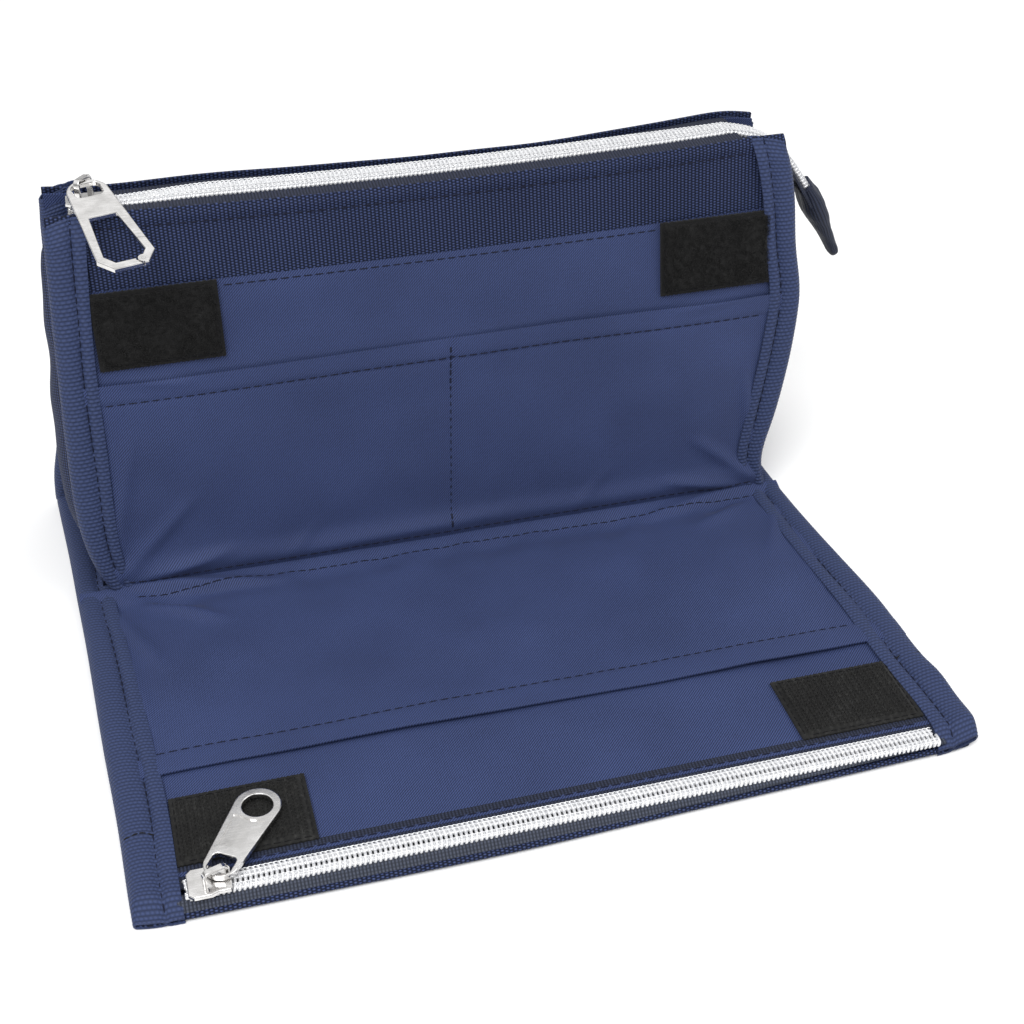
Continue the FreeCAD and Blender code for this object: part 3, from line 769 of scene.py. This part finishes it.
# ---- side gussets ----
GUSSET_LEFT = spline([
    (0, 98), (10, 101), (19, 103.6), (28, 104.5), (43, 103.3), (58, 102), (72, 100.9), (86, 99.2),
    (96, 97.4),
])
GUSSET_RIGHT = spline([(0, 92), (20, 93.6), (60, 94.8), (96, 92)])


def edges_of(hand):
    """Outlines on one side: the flap and base, the front panel, the back panel and the gusset's swell."""
    if hand < 0:
        return FLAP_LEFT, FRONT_LEFT, BACK_LEFT, GUSSET_LEFT
    return FLAP_RIGHT, FRONT_RIGHT, BACK_RIGHT, GUSSET_RIGHT


def gusset(name, hand):
    """Side wall between the front and back panels, from the base up, drawn in under the zipper."""
    t, u = grid(np.linspace(0, 1, 60), np.linspace(0, 1, 40))
    z = 2.4 + 96 * t
    front = (z - 3) * tan(radians(FRONT_LEAN)) + 2.2
    back = BASE_BACK + (z - 0.6) * tan(radians(BACK_LEAN)) - 1.6
    y = front + (back - front) * u
    wave = 0.5 * ripple(y, z, 22, 51 + hand) * np.sin(u * pi)
    base_edge, front_edge, back_edge, swollen = edges_of(hand)
    seam_line = (front_edge(z) - 7.5) * (1 - u) + (back_edge(z) - 8.5) * u
    seam_line = seam_line + (base_edge(-y) - 7 - seam_line) * step(1 - t * 5)
    swell = (swollen(z) - seam_line) * np.sin(u**0.85 * pi) ** 0.7 * step(t * 7)
    x = seam_line + swell + wave - 7 * step((z - 91) / 8)
    faces = [joined(hand * (x - depth), y, z) for depth in (0, 0.6)]
    return slab(name, *faces[::hand], joined(np.abs(back - front) * u, z), COARSE)


for side, hand in SIDES:
    piece = gusset("gusset_cloth_" + side, hand)
    hold(piece, "stretch" if hand < 0 else "pouch", "coarse_cloth", "gusset_" + side)


# ---- bindings ----
TAPE_THICK = 0.5


def binding_ring(width, groove, half, puff_top, puff_low):
    """Section of a folded tape, by station: inwards from the edge, out of the panel, and is it outside."""
    width, groove, half, puff_top, puff_low = (v[:, None] for v in (width, groove, half, puff_top, puff_low))
    t = 0.5 - 0.5 * np.cos(np.linspace(0, pi, 26))[None]
    radius = np.minimum(half, 1.9)

    def leaf(start, puff, sink, side):
        """One side of the fold, start inside the outer face: two puffs with the sewn groove between them."""
        a = start + (width - start) * t
        edge = np.sqrt(np.clip(1 - np.clip(1 - (a - start) / (radius - start), 0, 1) ** 2, 0, 1))
        outer = np.sin(np.clip(a / groove, 0, 1) * pi)
        inner = np.sin(np.clip((a - groove) / (width - groove), 0, 1) * pi)
        height = half - start + puff * (outer + 0.55 * inner) - sink * hump(a, groove, 0.5)
        return joined(a, side * height * edge)

    ring = np.concatenate([
        leaf(0, puff_top, 0.5, 1)[:, ::-1],
        leaf(0, puff_low, 0.3, -1)[:, 1:],
        leaf(TAPE_THICK, puff_low, 0.3, -1)[:, ::-1],
        leaf(TAPE_THICK, puff_top, 0.5, 1)[:, 1:],
    ], 1)
    return ring[..., 0], ring[..., 1], np.arange(ring.shape[1]) < 2 * t.shape[1] - 1


def binding_line(d, hand, middle, half, width, share, thin, end):
    """A binding's width, groove, half thickness and middle height. It is pressed thinner towards its end."""
    wide = width(d)
    groove = wide * share + 0.25 * ripple(d, d * 0, 40, 61 + hand)
    press = thin * step((d - end + 6) / 6)
    return wide, groove, half - press, middle - press


def binding(name, place, edge, hand, span, puff, round_off, half, lift=level, **shape):
    """Ribbed tape folded round a panel's side edge. lift raises the edge, round_off rounds its top corner."""
    d = np.linspace(*span, int(abs(span[1] - span[0]) / RIB * 5))
    wide, groove, half_at, middle_at = binding_line(d, hand, half=half, end=span[1], **shape)
    swell = 1 + 0.25 * ripple(d, d * 0 + 9, 34, 67 + hand)
    slack = step((span[1] - d + 2) / 9)
    a, n, outside = binding_ring(wide, groove, half_at, puff[0] * swell * slack, np.full(len(d), puff[1]))
    rib = 0.045 * np.cos(2 * pi * d / RIB)[:, None]
    wide, along = wide[:, None], d[:, None]
    push = joined((a - wide * 0.5) / (wide * 0.5), n / half)
    push /= np.linalg.norm(push, axis=-1, keepdims=True) + 1e-9
    a = a + np.where(outside, rib * push[..., 0] * 0.6, 0)
    n = n + np.where(outside, rib * push[..., 1], 0)
    outward = 1 - np.clip(a / wide, 0, 1)
    corner = round_off * outward**2.2 * step((along - span[1] + 12) / 12)
    height = middle_at[:, None] + n + lift(along) * outward**1.3
    points = place(hand * (edge(along) - a), along - corner, height)
    across = distances(joined(a[0], n[0]))
    uv = joined(across[None], along)
    if (hand > 0) == (place is on_flap):
        points, uv = points[:, ::-1], uv[:, ::-1]
    return sweep(name, points, uv, BINDING, 70)


def groove_stitches(name, place, edge, hand, span, lift=level, **shape):
    """The seam along a binding's groove, on the side that faces out."""
    d = np.linspace(span[0] + 1, span[1] - 1, 140)
    wide, groove, half_at, middle_at = binding_line(d, hand, end=span[1], **shape)
    height = middle_at + half_at - 0.36 + lift(d) * (1 - groove / wide) ** 1.3
    return stitches(name, [seam_path(place, hand * (edge(d) - groove), d, height)], THREAD, 2.1, 0.7)


FLAP_WIDTH = spline([(-50, 10.6), (0, 9.4), (57, 11.4), (114.5, 10.8)])
FRONT_WIDTH = spline([(0, 6), (14, 8.6), (60, 9.4), (105, 10.2)])
CORNER_LIFT = {
    -1: lambda d: 0.5 * hump(d, 55, 22),
    1: lambda d: 1.6 * hump(d, 108, 9) + 1.2 * hump(d, 88, 6),
}


def bind(tape, seam, side, body, nodes, flat, at, span, seam_span, puff, round_off, **shape):
    """One binding and the stitches in its groove, if they show."""
    piece = binding(tape + side, *at, span, puff, round_off, **shape)
    hold(piece, body, "binding_tape", *(node + side for node in nodes))
    if seam:
        hold(groove_stitches(seam + side, *at, seam_span, **shape), body, "binding_tape")


for side, hand in SIDES:
    flap_edge, front_edge, back_edge, _ = edges_of(hand)
    flap_end = float(FLAP_TIP(hand * 96)) + 0.3
    back_end = float(BACK_TOP(hand * 92)) + 0.4
    bind(
        "base_flap_binding_", "base_flap_binding_seam_", side, "fold", ["base_binding_", "flap_binding_"],
        (24, 161), (on_flap, flap_edge, hand), (-48, flap_end), (-44, flap_end), (0.75, 0), 1.2,
        middle=1.9, half=1.9, width=FLAP_WIDTH, share=0.64, thin=1, lift=CORNER_LIFT[hand],
    )
    bind(
        "front_binding_tape_", "front_binding_seam_", side, "pouch", ["front_binding_"],
        (22, 101), (on_front, front_edge, hand), (0.8, 101.4), (3, 101), (0.7, 0.6), 2,
        middle=-0.9, half=2.1, width=FRONT_WIDTH, share=0.66, thin=0.5,
    )
    bind(
        "back_binding_tape_", None, side, "twist", ["back_binding_"],
        (24, 100), (on_back, back_edge, hand), (2, back_end), None, (0.3, 0.5), 3.5,
        middle=0.6, half=1.9, width=lambda d: 10.8 + 0 * d, share=0.64, thin=0.5,
    )


# ---- touch fastener patches ----
def graded(long, border, count):
    """Places from 0 to long, closer together within a border's width of either end."""
    far = long - border
    middle = np.linspace(border, far, count)[1:-1]
    return np.concatenate([np.linspace(0, border, 5), middle, np.linspace(far, long, 5)])


def patch(name, place, x0, x1, d0, d1, low, high, material, border=1.3):
    """Woven backing with a thin selvedge border round a raised field. Its two cut edges are slightly wavy."""
    wide, tall, rim = x1 - x0, d1 - d0, low + 0.8
    d, x = grid(graded(tall, border, 34), graded(wide, border, 50))
    from_edge = np.minimum(np.minimum(x, wide - x), np.minimum(d, tall - d))
    uneven = 0.12 * ripple(x, d, 2.3, 71) + 0.1 * ripple(x, d, 9, 72)
    height = rim + (high - rim + uneven) * step((from_edge - border * 0.7) / 0.6)
    near, far = (0.12 * np.sin(x * 2 * pi / period) for period in (1.1, 0.9))
    shifted = d0 + d + near * (d < 1e-6) + far * (d > tall - 1e-6)
    top, under = (place(x0 + x, shifted, n) for n in (height, low + 0.05))
    return slab(name, top, under, joined(x, d), material)


def pile(name, place, x0, x1, d0, d1, base, count, seed):
    """Tangled little loops standing on a loop patch."""
    draw = np.random.default_rng(seed)
    each = (count, 1)
    cx, cd = draw.uniform(x0 + 0.9, x1 - 0.9, each), draw.uniform(d0 + 0.9, d1 - 0.9, each)
    angle = draw.uniform(0, pi, each)
    wide, tall = draw.uniform(0.25, 0.55, each), draw.uniform(0.25, 0.6, each)
    s = np.linspace(0, pi, 6)
    across, lean = -np.cos(s) * wide, draw.uniform(-0.4, 0.4, each) * np.sin(s)
    x = cx + across * np.cos(angle) - lean * np.sin(angle)
    d = cd + across * np.sin(angle) + lean * np.cos(angle)
    return tubes(name, place(x, d, base - 0.15 + np.sin(s) * tall), 0.055, 3, LOOP)


def hooks(name, place, x0, x1, d0, d1, base, seed):
    """Rows of little hooks, alternate rows turned the other way."""
    draw = np.random.default_rng(seed)
    pitch = 0.85
    xs, ds = np.arange(x0 + 1.7, x1 - 1.5, pitch), np.arange(d0 + 1.7, d1 - 1.5, 1.05)
    x, d = (g.reshape(-1, 1) for g in np.meshgrid(xs, ds))
    x = x + draw.uniform(-0.12, 0.12, x.shape)
    d = d + draw.uniform(-0.12, 0.12, d.shape)
    turn = np.where((np.round((x - x0) / pitch).astype(int) % 2) == 0, 1, -1)
    height = draw.uniform(0.85, 1.1, x.shape)
    reach, rise = np.array([(0, 0), (0, 0.45), (0.05, 0.75), (0.28, 0.92), (0.5, 0.8), (0.52, 0.6)]).T
    lines = place(x + 0.12 * reach, d + turn * reach, base - 0.1 + rise * height)
    return tubes(name, lines, 0.095, 4, HOOK)


def patch_seam(name, place, x0, x1, d0, d1, n):
    """Stitches along the four sides of a patch, just inside its edge."""
    inset, t = 0.9, np.linspace(0, 1, 40)
    x0, x1, d0, d1 = x0 + inset, x1 - inset, d0 + inset, d1 - inset
    corners = [(x0, d0), (x1, d0), (x1, d1), (x0, d1)]
    paths = [
        seam_path(place, a[0] + (b[0] - a[0]) * t, a[1] + (b[1] - a[1]) * t, n)
        for a, b in zip(corners, corners[1:] + corners[:1])
    ]
    return stitches(name, paths, BLACK_THREAD, 1.7, 0.6, 0.13)


PATCH_INNER, PATCH_OUTER = 58, 89.2
LOOP_SPAN, HOOK_SPAN = (62, 82), (79.3, 99.9)
LOOP_LOW, LOOP_TOP, HOOK_LOW = 0.2, 1.75, 2.85
for side, hand in SIDES:
    ends = sorted((hand * PATCH_INNER, hand * PATCH_OUTER))
    at = (on_front, *ends, *LOOP_SPAN)
    piece = patch("loop_patch_ground_" + side, *at, LOOP_LOW, LOOP_TOP, LOOP)
    hold(piece, "pouch", "loop_pile", "loop_patch_" + side)
    hold(pile("loop_pile_" + side, *at, LOOP_TOP, 3000, 81 + hand), "pouch", "loop_pile")
    hold(patch_seam("loop_patch_seam_" + side, *at, LOOP_LOW + 0.95), "pouch", "loop_pile")
    at = (on_flap, *ends, *HOOK_SPAN)
    piece = patch("hook_patch_ground_" + side, *at, HOOK_LOW, HOOK_LOW + 1.25, HOOK, 1.5)
    hold(piece, "flap", "hook_pile", "hook_patch_" + side)
    hold(hooks("hook_rows_" + side, *at, HOOK_LOW + 1.2, 91 + hand), "flap", "hook_pile")
    hold(patch_seam("hook_patch_seam_" + side, *at, HOOK_LOW + 0.9), "flap", "hook_pile")


# ---- zippers ----
PITCH = 1.14


def squared(value, power):
    """A sine or cosine with squarer shoulders."""
    return np.sign(value) * np.abs(value) ** power


def coil_half(name, centre, across, normal, x0, x1, hand, phase):
    """One half of a coil: a flattened helix whose loops reach past the middle, between the other half's."""
    turns = int((x1 - x0) / PITCH)
    theta = np.linspace(0, turns * 2 * pi, turns * 14 + 1) + phase * 2 * pi
    s = x0 + PITCH * (theta / (2 * pi) + 0.10 * np.sin(theta))
    side = hand * (1.22 + 1.46 * squared(np.cos(theta), 0.75))
    high = 0.12 + 0.56 * squared(np.sin(theta), 0.6)
    points = centre(s) + across(s) * side[:, None] + normal(s) * high[:, None]
    return tubes(name, points[None], 0.36, 7, COIL)


def sewing(centre, across, normal, x0, x1, hands=(-1, 1)):
    """Cords inside each half of the coil, and the two threads over its loops that sew it down."""
    s = np.arange(x0, x1, PITCH / 6)
    bumps = (1.02 + 0.1 * np.cos(2 * pi * s / PITCH))[:, None]
    # distance from the middle, height over the loops, radius
    cords = ((2.3, 1, 0.12), (1.4, 1, 0.12), (1.95, 0.08, 0.55), (1, 0.08, 0.5))
    rows = [(hand * side, high, radius) for hand in hands for side, high, radius in cords]
    lines = [centre(s) + across(s) * side + normal(s) * high * bumps for side, high, _ in rows]
    return lines, np.array([[radius] * len(s) for _, _, radius in rows])


# heights of a zipper tape's two faces, from the middle of its chain
TAPE_FACES = (0.1, -0.38)
MAIN_TAPE_ENDS = (-88, 82.5)


def straight(place, drop=level):
    """Centre line and directions of a zipper that runs along X."""
    return (
        lambda s: place(s, 0, -drop(s)),
        lambda s: place(s, 1, 0) - place(s, 0, 0),
        lambda s: place(s, 0, 1) - place(s, 0, 0),
    )


# Unless another material is given, the tape is the darkened copy: painted shade.
def zip_tape(name, place, x0, x1, v0, v1, drop=level, slope=0, material=SHADED_TAPE):
    """Tape beside a coil. v0 and v1 are its edges across the chain, slope its fall beyond the coil."""
    t, x = grid(np.linspace(0, 1, 24), np.linspace(x0, x1, 160))
    start = v0(x) if callable(v0) else v0
    v = start + (v1 - start) * t
    w = 0.02 * ripple(x, v, 20, 95) - drop(x) - slope * step((np.abs(v) - 2.4) / 2.8)
    top, low = (place(x, v, w + out) for out in TAPE_FACES)
    return slab(name, top, low, joined(x, v), material)


def back_tape(name):
    """The main zipper's rear tape, from the coil to the back wall just under its top edge."""
    t, x = grid(np.linspace(0, 1, 20), np.linspace(*MAIN_TAPE_ENDS, 160))
    near = on_main_zip(x, 0.9, -sag(x))
    far = on_back(x, BACK_TOP(x) - 1.3, back_face(x, 101) + 1.3)
    middle = near + (far - near) * t[..., None]
    middle[..., 2] += 0.5 * np.sin(t * pi)
    top, low = (middle + [0, 0, out] for out in TAPE_FACES)
    # drawn in the darkened tape: painted shade
    return slab(name, top, low, joined(x, t * 9), SHADED_TAPE)


def chain_half(chain, label, body, hand, phase, make_tape, *args, **more):
    """One side of a zipper: half of its coil, its tape, and the cord and threads in the coil."""
    zipper, line, start, coil_end, thread_end = chain
    piece = coil_half(f"{zipper}_coil_{label}", *line, start, coil_end, hand, phase)
    hold(piece, body, "zipper_coil", f"{zipper}_zip_{label}_coil")
    piece = make_tape(f"{zipper}_zip_tape_{label}", *args, **more)
    hold(piece, body, "zipper_tape", f"{zipper}_zip_{label}_tape")
    piece = tubes(f"{zipper}_coil_thread_{label}", *sewing(*line, start, thread_end, (hand,)), 6, COIL)
    hold(piece, body, "zipper_coil")


FLAP_CHAIN = ("flap", straight(on_flap_zip), -88.4, 88.6, 88.4)
MAIN_CHAIN = ("main", straight(on_main_zip, sag), -90, 80.4, 80.4)
flap_tape = (zip_tape, on_flap_zip, -90.4, 90.4)
main_tape = (zip_tape, on_main_zip, *MAIN_TAPE_ENDS)
chain_half(FLAP_CHAIN, "rear", "flap", 1, 0, *flap_tape, 0.9, 7.4)
chain_half(
    FLAP_CHAIN, "front", "flap", -1, 0.5, *flap_tape, lambda x: FLAP_ZIP - FLAP_TIP(x) + 0.7, -0.9,
    slope=1.75, material=TAPE,
)
chain_half(MAIN_CHAIN, "front", "pouch", -1, 0, *main_tape, -9.9, -0.9, drop=sag)
chain_half(MAIN_CHAIN, "back", "twist", 1, 0.5, back_tape)

END_ROUTE = [(80.2, 28, 101.5), (90, 28.2, 98.6), (99, 29, 91), (106.5, 30, 80.5)]
TAIL_ROUTE = [(106.7, 30.1, 80.2), (110.8, 31, 73), (115.4, 32, 64.9), (119.4, 32.5, 57.4)]


def route_line(points):
    """Centre line and directions of a bending route, across always along Y, and the route's length."""
    far = distances(points)
    curves = [spline(list(zip(far, values))) for values in zip(*points)]

    def centre(s):
        beyond = np.clip(s - far[-1], 0, None)[:, None] + np.clip(s, None, 0)[:, None]
        return np.stack([c(s) for c in curves], -1) + beyond * along(s)

    def along(s):
        inner = np.clip(s, 0.05, far[-1] - 0.05)
        v = np.stack([c(inner + 0.05) - c(inner - 0.05) for c in curves], -1)
        return v / np.linalg.norm(v, axis=-1, keepdims=True)

    def across(s):
        return np.broadcast_to([0, 1, 0], (len(s), 3))

    def normal(s):
        v = np.cross(along(s), across(s))
        return v / np.linalg.norm(v, axis=-1, keepdims=True)

    return centre, across, normal, far[-1]


*end_line, end_long = route_line(END_ROUTE)
for label, hand, phase in (("front", -1, 0), ("back", 1, 0.5)):
    piece = coil_half(f"end_coil_{label}", *end_line, -0.4, end_long + 2.4, hand, phase)
    hold(piece, "pouch", "zipper_coil", "main_zip_end_chain")
piece = tubes("end_coil_thread", *sewing(*end_line, 0, end_long + 2), 6, COIL)
hold(piece, "pouch", "zipper_coil")


def beside(line, s, across, out):
    """Points across a route and out of its face, a row for each place s along it."""
    centre, sideways, normal = (part(s)[:, None] for part in line)
    return centre + sideways * across[..., None] + normal * out[..., None]


def end_tape():
    """Tape under the bent end of the chain. Its edges fold down towards the tail."""
    t, u = grid(np.linspace(0, 1, 60), np.linspace(-1, 1, 26))
    s = -1 + (end_long + 4) * t[:, 0]
    across = (5.6 - np.sin(t * pi)) * u
    height = -0.4 - 1.2 * np.abs(u) ** 3 * t
    top, low = (beside(end_line, s, across, height - depth) for depth in (0, 0.5))
    # drawn in the darkened tape: painted shade
    return slab("end_tape", top, low, joined(s[:, None], across), SHADED_TAPE)


hold(end_tape(), "pouch", "zipper_tape")
*tail_line, tail_long = route_line(TAIL_ROUTE)


def tail():
    """Tape end folded in two round the zipper's end, pinched flat and rounded off at its tip."""
    t = np.linspace(0, 1, 70)[:, None]
    s = -2 + (tail_long + 2) * t[:, 0]
    angle = np.linspace(0, 2 * pi, 48, endpoint=False)[None]
    tip = np.sqrt(np.clip(1 - (np.clip(t - 0.9, 0, 1) / 0.1) ** 2, 0.02, 1))
    wide = spline([(0, 4.4), (0.22, 5.8), (0.5, 5), (0.8, 3.2), (1, 2.6)])(t) * tip
    thick = spline([(0, 1.9), (0.25, 3), (0.6, 2.1), (1, 1.3)])(t) * (0.4 + 0.6 * tip)
    across = squared(np.cos(angle), 0.75) * wide
    out = squared(np.sin(angle), 0.85) * thick
    face = np.clip(np.sin(angle), 0, 1)
    valley = -1.5 * hump(across, 1.2 * t - 0.9, 0.7) * face * step(t * 3)
    ridge = 0.8 * hump(across, 1.9 - 2 * t, 0.9) * face
    wave = 0.16 * ripple(across * 2, s[:, None] + 4 * angle, 9, 97)
    uv = joined(angle * 3, s[:, None])
    # drawn in the darkened tape: painted shade
    return sweep("tail", beside(tail_line, s, across, out + valley + ridge + wave), uv, SHADED_TAPE, 80)


hold(tail(), "pouch", "zipper_tape", "main_zip_tail")


# ---- seams ----
def across_path(place, d, face, x0, x1):
    """A seam that runs across a panel at this distance along it, a number or a function of x."""
    x = np.linspace(x0, x1, 200)
    d = d(x) if callable(d) else np.full(len(x), d)
    return seam_path(place, x, d, face(x, d))


front_paths = [
    across_path(on_front, lambda x: 80.6 - sag(x, 0.9), front_lining_face, -57, 57),
    across_path(on_front, lambda x: 53 + 0.25 * np.sin(x / 30 + 1), front_pocket_face, -90, 88),
    across_path(on_front, lambda x: 97.6 - sag(x), front_wall_face, -86, 84),
    across_path(on_front, 3, front_pocket_face, -92, 86),
]
flap_paths = [
    across_path(on_flap, 64.3, flap_pocket_face, -91, 88),
    across_path(on_flap, 101.7, flap_lining_face, -88, 88),
]
spine_paths = [across_path(on_flap, 4.4, flap_pocket_face, -90, 88)]
d = np.linspace(4, 57.5, 120)
x = divider_x(d)
divider = [seam_path(on_front, x, d, front_pocket_face(x, d))]
hold(stitches("front_seams", front_paths, THREAD), "pouch", "twill_lining")
hold(stitches("divider_seam", divider, THREAD, 1.9, 0.3, 0.27), "pouch", "twill_lining")
hold(stitches("flap_seams", flap_paths, THREAD), "flap", "twill_lining")
hold(stitches("spine_seam", spine_paths, THREAD), "pouch", "twill_lining")

# stitches where each flap binding is joined, across the tape
for side, hand, d in (("left", -1, 89), ("right", 1, 79)):
    edge = float(edges_of(hand)[0](d))
    a = np.linspace(0.8, float(FLAP_WIDTH(d)) - 0.3, 40)
    puff = 0.75 * np.abs(np.sin(np.clip(a / 7.2, 0, 1) * pi))
    high = 3.65 + puff + float(CORNER_LIFT[hand](d)) * (1 - a / 11.4) ** 1.3
    path = seam_path(on_flap, hand * (edge - a), d + 0.3 * np.sin(a), high)
    joint = stitches("binding_joint_" + side, [path], BLACK_THREAD, 1.5, 0.25, 0.2)
    hold(joint, "flap", "binding_tape")

# ---- hardware kept from the frame ----
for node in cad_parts.values():
    if not node.hide_render:
        node.data.materials.clear()
        node.data.materials.append(NICKEL)

# ---- stage ----
REACH, UNDER = 3000.0, -0.2
floor_net = Net("pale_floor", roughness=0.9, specular=0.1)
floor_net.feed_shader({"Base Color": (0.93, 0.93, 0.93, 1.0)})
corners = [(-REACH, -REACH, UNDER), (REACH, -REACH, UNDER), (REACH, REACH, UNDER), (-REACH, REACH, UNDER)]
add_mesh("floor", corners, [(0, 1, 2, 3)], floor_net.material)

# How bright the sky is by height: bright low down, dark above that and brightest overhead.
SKY = ((0.0, 0.85), (0.1, 0.8), (0.2, 0.3), (0.42, 0.35), (0.62, 0.9), (0.9, 1.3))
world = bpy.data.worlds.new("studio")
world.use_nodes = True
tree = world.node_tree
sky, upward, glow = (tree.nodes.new("ShaderNode" + kind) for kind in ("TexCoord", "SeparateXYZ", "ValToRGB"))
set_stops(glow, [(height, (bright, bright, bright)) for height, bright in SKY])
background = tree.nodes["Background"]
background.inputs[1].default_value = 0.95
tree.links.new(sky.outputs["Generated"], upward.inputs[0])
tree.links.new(upward.outputs[2], glow.inputs[0])
tree.links.new(glow.outputs[0], background.inputs[0])
scene.view_settings.view_transform = "Standard"
scene.world = world


def softbox(name, place, target, size, power):
    lamp = bpy.data.lights.new(name, "AREA")
    lamp.shape = "RECTANGLE"
    lamp.size, lamp.size_y = size
    lamp.energy = power
    made = add_object(name, lamp)
    made.location = place
    made.rotation_mode = "QUATERNION"
    made.rotation_quaternion = (Vector(target) - Vector(place)).to_track_quat("-Z", "Y")


softbox("key", (-0.3, -0.5, 0.75), (0, 0, 0.06), (0.5, 0.5), 5)
softbox("fill", (0.8, -0.4, 0.7), (0, 0, 0.03), (0.8, 0.6), 3)
